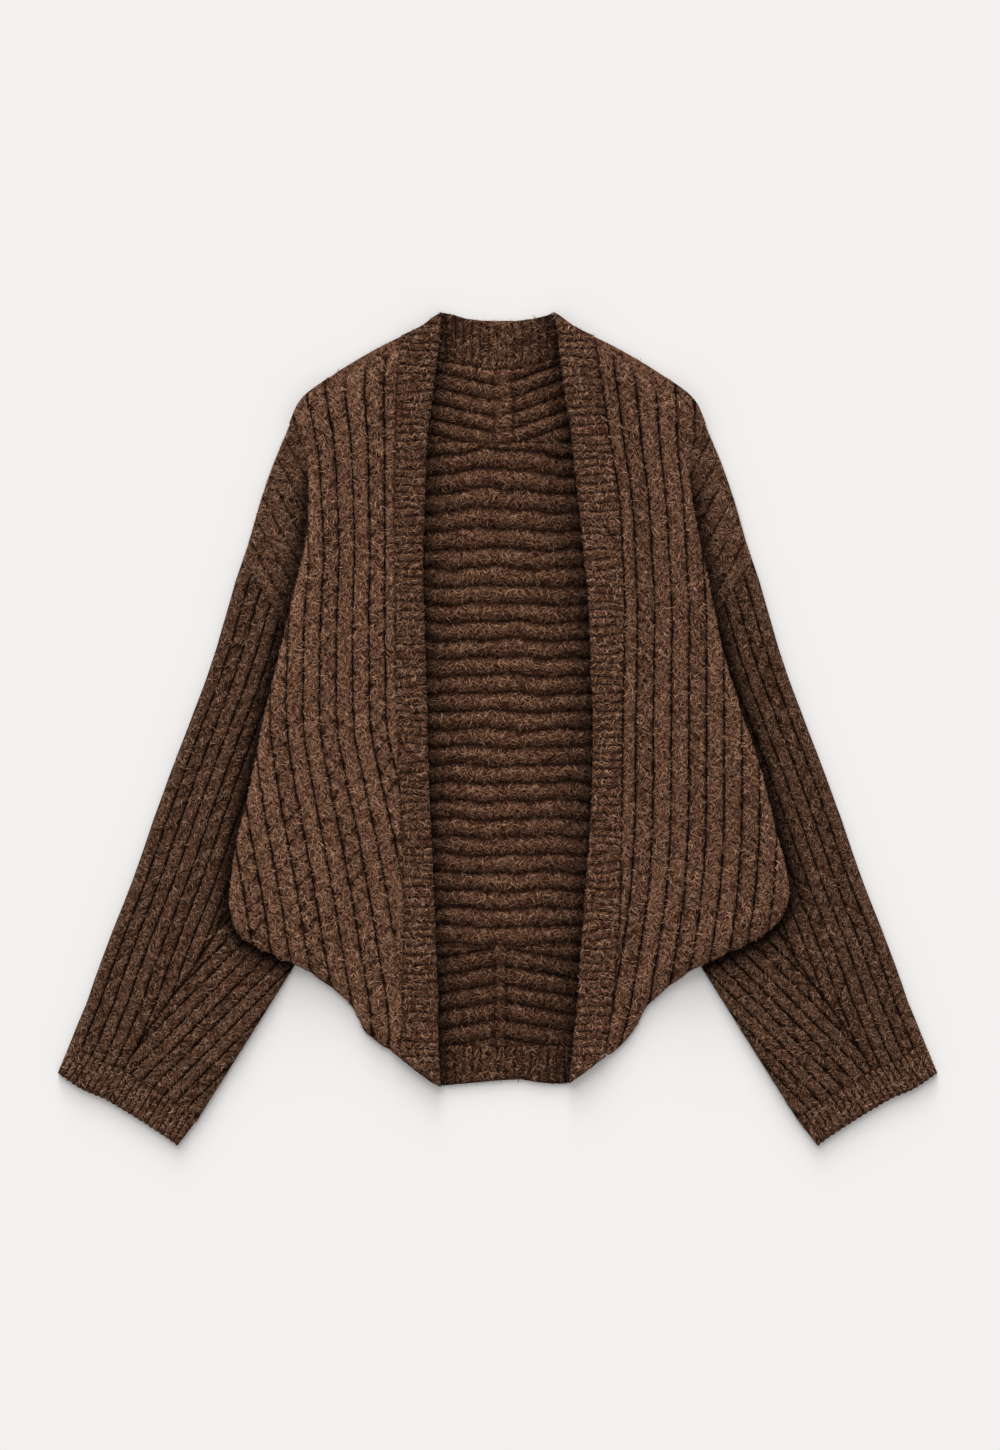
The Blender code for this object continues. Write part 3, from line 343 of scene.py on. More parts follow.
def nearest(x, y, line, closed):
    """Distance to a line, the nearest place on it, and whether each point is inside it."""
    starts = np.array(line, float)
    ends = np.roll(starts, -1, axis=0) if closed else starts[1:]
    starts = starts if closed else starts[:-1]
    flat_x, flat_y = np.ravel(x), np.ravel(y)
    best = np.full(flat_x.shape, FAR)
    near_x, near_y = np.zeros_like(best), np.zeros_like(best)
    is_in = np.zeros(flat_x.shape, bool)
    for (ax, ay), (bx, by) in zip(starts, ends):
        dx, dy = bx - ax, by - ay
        share = np.clip(((flat_x - ax) * dx + (flat_y - ay) * dy) / max(dx * dx + dy * dy, 1e-9), 0, 1)
        px, py = ax + share * dx, ay + share * dy
        gap = (flat_x - px) ** 2 + (flat_y - py) ** 2
        closer = gap < best
        best[closer], near_x[closer], near_y[closer] = gap[closer], px[closer], py[closer]
        if ay != by:
            is_in ^= ((ay > flat_y) != (by > flat_y)) & (flat_x < dx * (flat_y - ay) / dy + ax)
    shape = np.shape(x)
    return tuple(part.reshape(shape) for part in (np.sqrt(best), near_x, near_y, is_in))


def smooth_step(value):
    """0 below 0, 1 above 1, and a soft rise between them."""
    value = np.clip(value, 0.0, 1.0)
    return value * value * (3 - 2 * value)


def rounding(distance, radius):
    """Height share of a rounded edge at a distance inside it."""
    return np.sqrt(np.clip(1 - (1 - np.clip(distance / radius, 0, 1)) ** 2, 0, 1))


def waves(x, y, *rows):
    """Soft uneven creases: a sum of long waves, each with height, length, heading and start."""
    total = np.zeros(np.shape(x))
    for height, length, heading, start in rows:
        along = x * np.cos(heading) + y * np.sin(heading)
        beside = y * np.cos(heading) - x * np.sin(heading)
        bend = 1.3 * np.sin(beside / length * 2.1 + start)
        total += height * np.sin(2 * pi * along / length + start + bend)
    return total


# Knit relief --------------------------------------------------------------------------------------

CABLE_FLAT = 0.42                    # share of half a cable rib that is rounded
CLEAR_DROP, FAINT_DROP = 0.42, 0.10  # depth of the line between strands, in one rib of three and the rest
SWAY, SWAY_LENGTH = 0.05, 1.7        # the middle of a rib sways by this share of it, over this many turns


def plain_rib(across, rise, depth, shoulder, soft):
    """A plump rib between narrow grooves; whole numbers of across are the grooves."""
    place = np.abs(across - np.round(across)) * 2
    crown = rounding(place, shoulder)
    shape = crown * (1 - soft) + smooth_step(place * 1.15) * soft
    return crown, -depth + (rise + depth) * shape


def cable_rib(across, along, rise, depth, twist):
    """A flat-topped rib of two strands; in one rib of three they clearly twist round each other."""
    rib = np.floor(across)
    sway = SWAY * np.sin(2 * pi * along / (SWAY_LENGTH * CABLE_TURN) + 2.4 * rib)
    place = across - rib + sway * np.sin(pi * (across - rib)) ** 0.5
    crown = rounding(1 - np.abs(2 * place - 1), CABLE_FLAT)
    lean = along / CABLE_TURN - twist * (place - 0.5) * CABLE_LEAN + CABLE_SHIFT * rib
    strand = np.abs(np.sin(pi * lean)) ** 0.5
    drop = np.where(rib % 3 == 1, CLEAR_DROP, FAINT_DROP) * (1 - strand)
    return crown * (1 - 0.9 * drop), -depth + (rise + depth) * (crown * (1 - drop))


# Shells -------------------------------------------------------------------------------------------

def largest_patch(kept):
    """Only the largest connected patch of a grid of kept points."""
    labels = np.where(kept, np.arange(kept.size).reshape(kept.shape) + 1, 0)
    while True:
        spread = labels.copy()
        for axis, step in ((0, 1), (0, -1), (1, 1), (1, -1)):
            moved = np.roll(labels, step, axis)
            edge = [slice(None), slice(None)]
            edge[axis] = 0 if step > 0 else -1
            moved[tuple(edge)] = 0
            spread = np.maximum(spread, moved)
        spread = np.where(kept, spread, 0)
        for _ in range(40):
            roots = spread.ravel()
            roots = np.where(roots > 0, np.append(0, spread.ravel())[roots], 0)
            if (roots == spread.ravel()).all():
                break
            spread = np.maximum(spread, roots.reshape(spread.shape))
        if (spread == labels).all():
            break
        labels = spread
    values, counts = np.unique(labels[labels > 0], return_counts=True)
    return labels == values[np.argmax(counts)]


def loops_of(quads):
    """Closed loops of a quad net's free edges, in the direction of its faces."""
    starts = quads.ravel()
    ends = np.roll(quads, -1, axis=1).ravel()
    size = int(quads.max()) + 1
    codes, back = starts * size + ends, ends * size + starts
    free = ~np.isin(codes, back)
    follow = {}
    for a, b in zip(starts[free].tolist(), ends[free].tolist()):
        follow.setdefault(a, []).append(b)
    loops = []
    while follow:
        first = next(iter(follow))
        loop, here = [first], first
        while True:
            choices = follow[here]
            there = choices.pop()
            if not choices:
                del follow[here]
            if there == first:
                break
            loop.append(there)
            here = there
        loops.append(loop)
    return sorted(loops, key=len, reverse=True)


def rim_places(x, y, outline):
    """Places of a rim's points on the outline, put in order along it, with one at each sharp corner."""
    corners = np.array(outline, float)
    runs = np.roll(corners, -1, axis=0) - corners
    lengths = np.hypot(runs[:, 0], runs[:, 1])
    starts = np.concatenate([[0.0], np.cumsum(lengths)])
    whole = starts[-1]
    best, arc = np.full(x.shape, FAR), np.zeros(x.shape)
    for at, (corner, run, size) in enumerate(zip(corners, runs, lengths)):
        share = np.clip(((x - corner[0]) * run[0] + (y - corner[1]) * run[1]) / size ** 2, 0, 1)
        gap = np.hypot(x - corner[0] - share * run[0], y - corner[1] - share * run[1])
        closer = gap < best - 1e-9
        best[closer], arc[closer] = gap[closer], (starts[at] + share * size)[closer]
    turned = np.diff(np.append(arc, arc[0]))
    arc = arc[0] + np.concatenate([[0.0], np.cumsum(turned - whole * np.round(turned / whole))[:-1]])
    tiled = np.concatenate([arc - whole, arc, arc + whole])
    ordered = (np.maximum.accumulate(tiled) + np.minimum.accumulate(tiled[::-1])[::-1]) / 2
    for _ in range(3):
        ordered[1:-1] = (ordered[:-2] + 2 * ordered[1:-1] + ordered[2:]) / 4
    arc = ordered[len(arc):2 * len(arc)]
    before = np.roll(runs, 1, axis=0)
    turns = np.abs(before[:, 0] * runs[:, 1] - before[:, 1] * runs[:, 0]) / (lengths * np.roll(lengths, 1))
    for place in starts[:-1][turns > SHARP]:
        off = (arc - place + whole / 2) % whole - whole / 2
        closest = np.argmin(np.abs(off))
        arc[closest] -= off[closest]
    arc = arc % whole
    ring = np.vstack([corners, corners[:1]])
    return np.interp(arc, starts, ring[:, 0]), np.interp(arc, starts, ring[:, 1])


def shell(name, outline, grid, top, under, weave, light, floor_step=FLOOR_STEP):
    """A closed shell of cloth over an outline.

    grid holds plan places in rows and columns that follow the ribs. top(x, y, inset) gives height and
    rib share, where inset is the distance to the outline, under(x, y) the height of the underside,
    weave(x, y) the place in the knit, and light(x, y) where the cloth is bare and how light it is.
    """
    x, y = grid
    distance, near_x, near_y, is_in = nearest(x, y, outline, True)
    kept = largest_patch(is_in & (distance > RIM_GAP))
    cells = kept[:-1, :-1] | kept[1:, :-1] | kept[:-1, 1:] | kept[1:, 1:]
    used = np.zeros_like(kept)
    for rows, columns in ((slice(0, -1), slice(0, -1)), (slice(1, None), slice(0, -1)),
                          (slice(0, -1), slice(1, None)), (slice(1, None), slice(1, None))):
        used[rows, columns] |= cells
    loose = (used & ~kept)[used]
    number = np.full(kept.shape, -1)
    number[used] = np.arange(used.sum())
    i, j = np.nonzero(cells)
    quads = np.stack([number[i, j], number[i, j + 1], number[i + 1, j + 1], number[i + 1, j]], axis=1)
    x, y, inset = x[used], y[used], distance[used]
    corner_x, corner_y = x[quads], y[quads]
    turn = np.sum(corner_x * np.roll(corner_y, -1, 1) - np.roll(corner_x, -1, 1) * corner_y)
    if turn < 0:
        quads = quads[:, ::-1]
    loop = loops_of(quads)[0]
    x[loop], y[loop] = rim_places(x[loop], y[loop], outline)
    inset[loop] = 0.0
    loose[loop] = False
    for at in np.flatnonzero(loose):
        around = np.unique(quads[(quads == at).any(axis=1)])
        around = around[around != at]
        x[at], y[at] = x[around].mean(), y[around].mean()
    inset[loose] = nearest(x[loose], y[loose], outline, True)[0]
    height, rib = top(x, y, inset)

    spots = [Vector((x[at], y[at])) for at in loop]
    rim_count = len(spots)
    inner_x, inner_y = np.meshgrid(
        *(np.arange(axis.min() + floor_step / 2, axis.max(), floor_step) for axis in (x, y)))
    depth, _, _, is_in = nearest(inner_x, inner_y, outline, True)
    chosen = is_in & (depth > FLOOR_GAP)
    spots += [Vector(spot) for spot in zip(inner_x[chosen], inner_y[chosen])]
    edges = [(at, (at + 1) % rim_count) for at in range(rim_count)]
    made = delaunay_2d_cdt(spots, edges, [list(range(rim_count))], 1, 0.005)
    source = {}
    for new, olds in enumerate(made[3]):
        for old in olds:
            source[old] = new
    floor_x = np.array([p.x for p in made[0]])
    floor_y = np.array([p.y for p in made[0]])
    floor_z = under(floor_x, floor_y)

    first = len(x)
    rim = [source[at] for at in range(rim_count)]
    sheets = [np.stack([x, y, height], axis=1), np.stack([floor_x, floor_y, floor_z], axis=1)]
    places = np.concatenate(sheets) * MM
    faces = [tuple(face) for face in quads.tolist()]
    faces += [tuple(first + at for at in reversed(face)) for face in made[2]]
    for at in range(rim_count):
        after = (at + 1) % rim_count
        ring = [first + rim[at], first + rim[after], loop[after], loop[at]]
        ring = [p for n, p in enumerate(ring) if p not in ring[:n]]
        if len(ring) > 2:
            faces.append(tuple(ring))
    mesh = bpy.data.meshes.new(name)
    mesh.from_pydata(places.tolist(), [], faces)
    all_x, all_y = np.concatenate([x, floor_x]), np.concatenate([y, floor_y])
    knit_u, knit_v = weave(all_x, all_y)
    corner = np.empty(len(mesh.loops), np.int32)
    mesh.loops.foreach_get("vertex_index", corner)
    uv = mesh.uv_layers.new(name="knit")
    uv.data.foreach_set("uv", np.stack([knit_u[corner], knit_v[corner]], axis=1).ravel() * MM)
    # rib sets the painted shade in the grooves; shade holds the painted light and shade of each area
    bare, shade = light(x, y)
    for label, values, beneath in (("rib", rib, 1.0), ("bare", bare, 0.0), ("shade", shade, 1.0)):
        values = np.concatenate([values, np.full(len(floor_x), beneath)])
        mesh.attributes.new(label, "FLOAT", "POINT").data.foreach_set("value", values)
    mesh.validate()
    mesh.shade_smooth()
    piece = bpy.data.objects.new(name, mesh)
    bpy.context.scene.collection.objects.link(piece)
    return piece


def steps(low, high, step):
    """Evenly spaced values from low to high."""
    return np.linspace(low, high, max(2, int(round((high - low) / step)) + 1))


def rib_steps(low, high, count):
    """Columns of whole ribs, closer together beside their grooves."""
    within = np.linspace(0, 1, count + 1)[:-1]
    within = within - GATHER * np.sin(2 * pi * within)
    ribs = np.arange(np.floor(low), np.ceil(high) + 1)
    return (ribs[:, None] + within[None, :]).ravel()


# What the fronts cover ----------------------------------------------------------------------------

def cover_outline(side):
    """Outline of one front with its band."""
    opening_at = column(FRONT[side], "opening")
    opening = [(float(opening_at(y)), y) for y in np.arange(-300.0, 350.0, 10.0)]
    runs = [curve(points(rows), 5) for rows in (SHOULDER, FOLD[side], BAND_FOOT[side])]
    return placed(joined(*runs, opening, curve(points(BAND_TOP), 5)), side)


COVER = {side: cover_outline(side) for side in (-1, 1)}


def beyond_cover(x, y, sides):
    """How far each point lies outside the fronts of these sides; negative under them."""
    gap = np.full(np.shape(x), FAR)
    for side in sides:
        distance, _, _, is_in = nearest(x, y, COVER[side], True)
        gap = np.minimum(gap, np.where(is_in, -distance, distance))
    return gap


def head_share(y):
    """1 at the shoulders, where the fold of a front merges into the sleeve, and 0 below them."""
    return smooth_step((y - HEAD_FOOT) / HEAD_BLEND)


def even_light(level):
    """Light on cloth that nothing lies over: bare (1) everywhere, and its share of light."""
    return lambda x, y: (np.ones(np.shape(x)), np.full(np.shape(x), level))


def light_beside(sides, level=1.0):
    """Light on cloth that the fronts of these sides lie over: where it is bare, and its share of light."""
    is_inside = len(sides) == 2

    def light(x, y):
        share = np.full(np.shape(x), level)
        for side in sides:
            depth, start, fade, power = BAND_SHADE[side] if is_inside else FOLD_SHADE
            depth = depth * (1 if is_inside else 1 - HEAD_SHADE * head_share(y))
            gap = np.clip(beyond_cover(x, y, (side,)) - start, 0, None)
            share = share * (1 - depth * np.exp(-(gap / fade) ** power))
        return (beyond_cover(x, y, sides) > -BARE_EDGE).astype(float), share
    return light


def tucked(x, y, sides):
    """Share by which cloth sinks beside and just under an edge that lies over it."""
    gap = beyond_cover(x, y, sides)
    return np.exp(-(gap / np.where(gap > 0, TUCK_BESIDE, TUCK_UNDER)) ** 2)


# Pieces -------------------------------------------------------------------------------------------

# Ribs: rise over the layer, depth of their grooves, share of half a rib that is rounded, and softness
BACK_RIB = (RIB_RISE, GROOVE_DEPTH, 0.95, 0.6)
STRIP_RIB = (RIB_RISE, GROOVE_DEPTH, 0.95, 0.5)
BAND_RIB = (1.1, 1.0, 0.6, 0.0)
FRONT_BAND_RIB = (0.9, 0.6, 0.6, 0.3)
CUFF_RIB = (1.1, 1.1, 0.6, 0.0)
CAP_RIB = (1.7, 0.8)                # rise and depth
CAP_DARK = 0.55                     # share of a groove's painted shade that shows on a shoulder

# Grids: columns across each rib, and the length between rows
STRIP_COLUMNS, BAND_COLUMNS, SLEEVE_COLUMNS, CUFF_COLUMNS = 9, 8, 11, 7
FRONT_ROW, SLEEVE_ROW, CAP_ROW, CUFF_ROW = 1.7, 1.25, 1.6, 1.4
OPEN_ROW, HIDDEN_ROW = 1.9, 7.0     # on the inside: in the opening, and under the fronts
OPEN_REACH, GRID_REACH = 114.0, 154.0
GRID_MARGIN = 4.0
SLEEVE_HEIGHTS, FRONT_HEIGHTS = (-348, 152), (-292, 350)
NECK_HEIGHTS, HEM_HEIGHTS, FRONT_BAND_HEIGHTS = (312, 370), (-318, -276), (-320, 370)
NECK_REACH, HEM_REACH = 80, 92
BAND_SHARES = (-0.35, 1.35, 34)     # from opening to seam: first and last share, and their number

# Centre ridges: steepness, how much of the ribs' relief and painted groove shade they take away, and the
# line of painted shade beside them as its darkness, its place in half widths and its width
RIDGE_STEEP, RIDGE_FLAT, RIDGE_CLEAR = 1.35, 0.6, 0.7
RIDGE_LINE = (0.8, 0.8, 1.3)
ARCH = (9.0, 75.0, 120.0)           # rise, half width and depth of the arched upper ribs of the back panel

# The waves' rows are height, length, heading and start; the drift's heights are shares of a rib
BACK_DRIFT = ((0.07, 95, 0.15, 0.6), (0.05, 47, 0.4, 2.1), (0.03, 23, 0.9, 1.3))
BACK_CREASES = ((0.25, 150, 0.4, 1.0), (0.2, 90, 1.9, 0.2))

MID_SEAM, MID_HEM = 75.0, 45.0      # places along the straight seams of yokes, tails and hem band
BAND_STAND = 0.6                    # neck and hem band stand this much over a plain layer

ARM_EDGE_AT = column(ARM_EDGE, "reach")
MITRE_AT = column(MITRE, "reach")


def level_at(height):
    """A flat underside at one height."""
    return lambda x, y: np.full(np.shape(x), height)


def seam_share(gap, level, width):
    """Height share of cloth that is still this level at its seam."""
    return level + (1 - level) * rounding(gap, width)


def plain_layer(relief, full=WALL, creases=None, seams=None, ridge=None):
    """Top of a single layer on the surface, rounded at its seams and raised at a centre ridge."""
    def top(x, y, inset):
        gap = inset if seams is None else nearest(x, y, seams, False)[0]
        share = rounding(gap, SEAM_ROUND)
        rib, lift = relief(x, y)
        if creases is not None:
            lift = lift + creases(x, y)
        if ridge is not None:
            middle, half, height = ridge
            off = np.abs(x - middle)
            raised = smooth_step(RIDGE_STEEP * (1 - off / half))
            lift = lift * (1 - RIDGE_FLAT * raised) + height * raised
            # the ridge clears the painted groove shade, and a line of painted shade lies beside it
            rib = rib + (1 - rib) * RIDGE_CLEAR * raised
            dark, place, width = RIDGE_LINE
            rib = rib * (1 - dark * np.exp(-((off - place * half) / width) ** 2))
        return SEAM_EDGE + (full + lift - SEAM_EDGE) * share, rib
    return top


def make_back():
    head, foot = ([(x, y) for x in (-BODY_REACH, 0.0, BODY_REACH)] for y in (BACK_TOP_Y, BACK_FOOT_Y))
    outline = joined(curve(head, 4), curve(foot[::-1], 4))

    def arch(x, depth):
        rise, half, fade = ARCH
        return rise * (1 - (x / half) ** 2) * (1 - smooth_step(depth / fade))

    def across(x, y):
        depth = BACK_TOP_Y - y
        return (depth + arch(x, depth)) / RIB_PITCH_BACK + waves(x, depth, *BACK_DRIFT)

    def relief(x, y):
        return plain_rib(across(x, y), *BACK_RIB)

    def creases(x, y):
        return waves(x, y, *BACK_CREASES)

    def weave(x, y):
        return across(x, y) * RIB_PITCH_BACK, x

    columns = np.concatenate([
        steps(-GRID_REACH, -OPEN_REACH - 2, HIDDEN_ROW), steps(-OPEN_REACH, OPEN_REACH, OPEN_ROW),
        steps(OPEN_REACH + 2, GRID_REACH, HIDDEN_ROW),
    ])
    x, u = np.meshgrid(columns, rib_steps(-1, 29.5, STRIP_COLUMNS))
    depth = u * RIB_PITCH_BACK
    for _ in range(12):
        depth = (u - waves(x, depth, *BACK_DRIFT)) * RIB_PITCH_BACK - arch(x, depth)
    top = plain_layer(relief, WALL, creases)
    light = light_beside((-1, 1), BACK_LIGHT)
    return shell("back_cloth", outline, (x, BACK_TOP_Y - depth), top, level_at(0.0), weave, light)


def strip_end(name, side, seams, start, slope, pitch, counts, ridge, level):
    """A neck or hem end of a front strip: ribs that slope away from the centre seam."""
    def height(x):
        return start + slope * np.abs(x - CENTRE_SEAM)

    def across(x, y):
        return (height(x) - y) / pitch

    def relief(x, y):
        return plain_rib(across(x, y), *STRIP_RIB)

    def weave(x, y):
        return across(x, y) * pitch, x

    columns = steps(0, GRID_REACH, OPEN_ROW) * side + CENTRE_SEAM
    x, u = np.meshgrid(columns, rib_steps(*counts, STRIP_COLUMNS))
    top = plain_layer(relief, seams=seams, ridge=ridge)
    light = light_beside((-1, 1), level)
    grid = (x, height(x) - u * pitch)
    return shell(name + SIDE_NAME[side], joined(seams), grid, top, level_at(0.0), weave, light)


def make_yoke(side):
    neck = curve(points(NECK_BAND_FOOT, "x"))
    upper = [(x, y - SEAM_GAP) for x, y in neck if side * (x - CENTRE_SEAM) >= 0]
    upper.sort(key=lambda point: side * point[0])
    centre, low = CENTRE_SEAM + side * CENTRE_GAP, BACK_TOP_Y + SEAM_GAP
    upper[0] = (centre, upper[0][1])
    end = (upper[-1][0] + side * SEAM_GAP * 2, upper[-1][1])
    foot = [(side * BODY_REACH, low), (side * MID_SEAM, low), (centre, low)]
    seams = upper + [end] + points(YOKE_SHOULDER, side=side) + foot
    return strip_end("yoke_cloth_", side, seams, YOKE_CENTRE_Y, YOKE_SLOPE[side], RIB_PITCH_YOKE, (-2, 9),
                     YOKE_RIDGE, YOKE_LIGHT)


def make_tail(side):
    centre, high, low = CENTRE_SEAM + side * CENTRE_GAP, BACK_FOOT_Y - SEAM_GAP, HEM_BAND_Y + SEAM_GAP
    sloping = curve(points(TAIL_SIDE[side], side=side))
    seams = [(centre, high), (side * MID_SEAM, high)] + sloping + [(side * MID_HEM, low), (centre, low)]
    return strip_end("tail_cloth_", side, seams, BACK_FOOT_Y, -TAIL_SLOPE, RIB_PITCH_BACK, (-3, 7),
                     TAIL_RIDGE, TAIL_LIGHT)


def short_rib_band(name, outline, reach, heights, level):
    """A band on the surface with short upright ribs."""
    def relief(x, y):
        return plain_rib(x / RIB_PITCH_BAND, *BAND_RIB)

    def weave(x, y):
        return x, y

    ribs = rib_steps(-reach / RIB_PITCH_BAND, reach / RIB_PITCH_BAND, BAND_COLUMNS)
    u, y = np.meshgrid(ribs, steps(*heights, FRONT_ROW))
    top = plain_layer(relief, WALL + BAND_STAND)
    light = light_beside((-1, 1), level)
    return shell(name, outline, (u * RIB_PITCH_BAND, y), top, level_at(0.0), weave, light)


def make_neck_band():
    outline = joined(curve(points(NECK_BAND_FOOT, "x")), points(NECK_TOP, "x")[::-1])
    return short_rib_band("neck_band_cloth", outline, NECK_REACH, NECK_HEIGHTS, NECK_LIGHT)


def make_hem_band():
    top_run = [(90.0, HEM_BAND_Y - SEAM_GAP)] + [(x, HEM_BAND_Y) for x in (MID_HEM, 0.0, -MID_HEM)]
    outline = joined(top_run, points(HEM_FOOT, "x"))
    return short_rib_band("hem_band_cloth", outline, HEM_REACH, HEM_HEIGHTS, HEM_LIGHT)


# Flat tubes: the ends of the arm's outer edge, and the line where a shoulder goes on under its front
ARM_EDGE_FOOT, CAP_EDGE_HEAD = -276.0, 270.2
CAP_FOOT, CAP_HEAD = 0.2, 292.0
TUBE_SEAM = (0.78, 1.8)             # height share at a tube's seams, and the width over which it rises
TUBE_FOLD_FADE = 3.0                # ribs fade this close to a fold
HEAD_LIFT = 1.2                     # cloth stands up this much beside the head of a front
TUBE_LOWEST = 0.2                   # and never sinks further than this under a groove
PAST_END = 6.0                      # the slit is cut this far past an open end
SLIT_STEP, CUFF_SLIT_STEP = 16, 14

# Sleeve: its outer ribs follow the outer edge, and its inner ribs run at 45 degrees past INNER_START
OUTER_ACROSS = 0.93                 # cosine of the outer edge's slope
OUTER_ALONG = (0.40, 0.916)         # across and down, along the outer ribs
INNER_TURN = 0.707
INNER_START = (337.5, -318.0)
MITRE_ACROSS = 0.85                 # cosine of the mitre's slope
MITRE_LOW, MITRE_WIDTH = 0.45, 2.5  # height share on the line of the mitre, and how far it rises beside it
SLEEVE_SINK = 0.3                   # ribs of a sleeve lie this much lower, apart from its creases

# Directions across the ribs of the right side
CAP_ACROSS = (0.877, -0.48)
CUFF_ACROSS = (0.856, 0.518)


def arm_edge_run(top, foot, step):
    """Outer edge of shoulder or sleeve between two heights."""
    heights = steps(foot, top, step)[::-1]
    return list(zip(ARM_EDGE_AT(heights).tolist(), heights.tolist()))


def sleeve_runs(step=RUN_STEP):
    edge = arm_edge_run(SEAM_Y, ARM_EDGE_FOOT, step)
    return [edge] + [curve(points(rows), step) for rows in (CUFF_SEAM, SLEEVE_INNER, ARM_SEAM)]


def cap_runs(step=RUN_STEP):
    edge = arm_edge_run(CAP_EDGE_HEAD, SEAM_Y + 2 * SEAM_GAP, step)
    line = curve(points(ARM_SEAM), step)[::-1]
    seam = [(reach - SEAM_GAP, y + SEAM_GAP / 2) for reach, y in line if y > -0.1]
    hidden = [(ARM_LINE, y) for y in (CAP_FOOT, 150.0, CAP_HEAD)]
    return [edge, seam, hidden, points(CAP_TOP)[::-1]]


def cuff_runs(step=RUN_STEP):
    seam = [(reach + SEAM_GAP / 3, y - SEAM_GAP) for reach, y in curve(points(CUFF_SEAM), step)]
    edge = curve(points(CUFF_EDGE), step)
    return [[seam[0], edge[0]], edge, [edge[-1], seam[-1]], seam[::-1]]


def moved_in(outline, distances):
    """The outline with each edge moved in by its own distance."""
    result = []
    for at, here in enumerate(outline):
        before, after = outline[at - 1], outline[(at + 1) % len(outline)]
        first = Vector((here[0] - before[0], here[1] - before[1])).normalized()
        second = Vector((after[0] - here[0], after[1] - here[1])).normalized()
        normal_a, normal_b = Vector((-first.y, first.x)), Vector((-second.y, second.x))
        turn = normal_a.x * normal_b.y - normal_a.y * normal_b.x
        gap_a, gap_b = distances[at - 1], distances[at]
        if abs(turn) < ALMOST_STRAIGHT:
            middle = (normal_a + normal_b).normalized() * (gap_a + gap_b) / 2
            result.append((here[0] + middle.x, here[1] + middle.y))
            continue
        x = (gap_a * normal_b.y - gap_b * normal_a.y) / turn
        y = (gap_b * normal_a.x - gap_a * normal_b.x) / turn
        result.append((here[0] + x, here[1] + y))
    return result


def slit_outline(runs, open_runs):
    """Outline of the space between two walls: inside the folded runs, out past the open ones."""
    outline, shifts = [], []
    for at, run in enumerate(runs):
        for a, b in zip(run, run[1:]):
            if hypot(a[0] - b[0], a[1] - b[1]) > SAME_POINT:
                outline.append(a)
                shifts.append(-PAST_END if at in open_runs else SIDE_FOLD)
    if twice_area(outline) < 0:
        outline = outline[::-1]
        shifts = shifts[-2::-1] + shifts[-1:]
    return moved_in(outline, shifts)


def settle(piece):
    """Turn a piece's modifiers into its own mesh."""
    graph = bpy.context.evaluated_depsgraph_get()
    graph.update()
    mesh = bpy.data.meshes.new_from_object(piece.evaluated_get(graph))
    old = piece.data
    piece.modifiers.clear()
    piece.data = mesh
    mesh.name = piece.name
    bpy.data.meshes.remove(old)


def open_tube(piece, runs, open_runs, side):
    """Cut the space between the two walls out of a flat tube, and leave its ends open."""
    shape = bmesh.new()
    outline = placed(slit_outline(runs, open_runs), side)
    base = shape.faces.new([shape.verts.new((x * MM, y * MM, WALL * MM)) for x, y in outline])
    raised = bmesh.ops.extrude_face_region(shape, geom=[base])
    tops = [item for item in raised["geom"] if isinstance(item, bmesh.types.BMVert)]
    bmesh.ops.translate(shape, verts=tops, vec=(0, 0, SLIT * MM))
    bmesh.ops.recalc_face_normals(shape, faces=shape.faces[:])
    mesh = bpy.data.meshes.new("slit")
    shape.to_mesh(mesh)
    shape.free()
    block = bpy.data.objects.new("slit", mesh)
    bpy.context.scene.collection.objects.link(block)
    cut = piece.modifiers.new("slit", "BOOLEAN")
    cut.operation = "DIFFERENCE"
    cut.solver = "EXACT"
    cut.object = block
    settle(piece)
    bpy.data.objects.remove(block)
    return piece


def flat_tube(relief, folds, side, creases=None, tuck=TUCK):
    """Top of a flat tube of cloth: round at its folds, almost level at its seams, sunk beside a front."""
    def top(x, y, inset):
        fold_gap = np.minimum.reduce([nearest(x, y, fold, False)[0] for fold in folds])
        share = np.minimum(rounding(fold_gap, SIDE_FOLD), seam_share(inset, *TUBE_SEAM))
        rib, lift = relief(x, y)
        if creases is not None:
            lift = lift + creases(x, y)
        lift = lift * smooth_step(fold_gap / TUBE_FOLD_FADE)
        head = head_share(y)
        lift = lift - (tuck * (1 - head) - HEAD_LIFT * head) * tucked(x, y, (side,))
        lift = np.clip(lift, -GROOVE_DEPTH - TUBE_LOWEST, RIB_RISE)
        return ARM_EDGE_TOP + (ARM_WALL_TOP + lift - ARM_EDGE_TOP) * share, rib
    return top


def slanted_ribs(side, direction, pitch, outline, columns, row):
    """Straight ribs at a slant: their count, the length along them, and a grid that follows them."""
    cosine, sine = direction

    def across(x, y):
        return (side * x * cosine + y * sine) / pitch

    def along(x, y):
        return side * x * sine - y * cosine

    counts = [across(px, py) for px, py in outline]
    lengths = [along(px, py) for px, py in outline]
    ribs = rib_steps(min(counts) - 1, max(counts) + 1, columns)
    u, v = np.meshgrid(ribs * pitch, steps(min(lengths) - GRID_MARGIN, max(lengths) + GRID_MARGIN, row))
    return across, along, (side * (u * cosine + v * sine), u * sine - v * cosine)


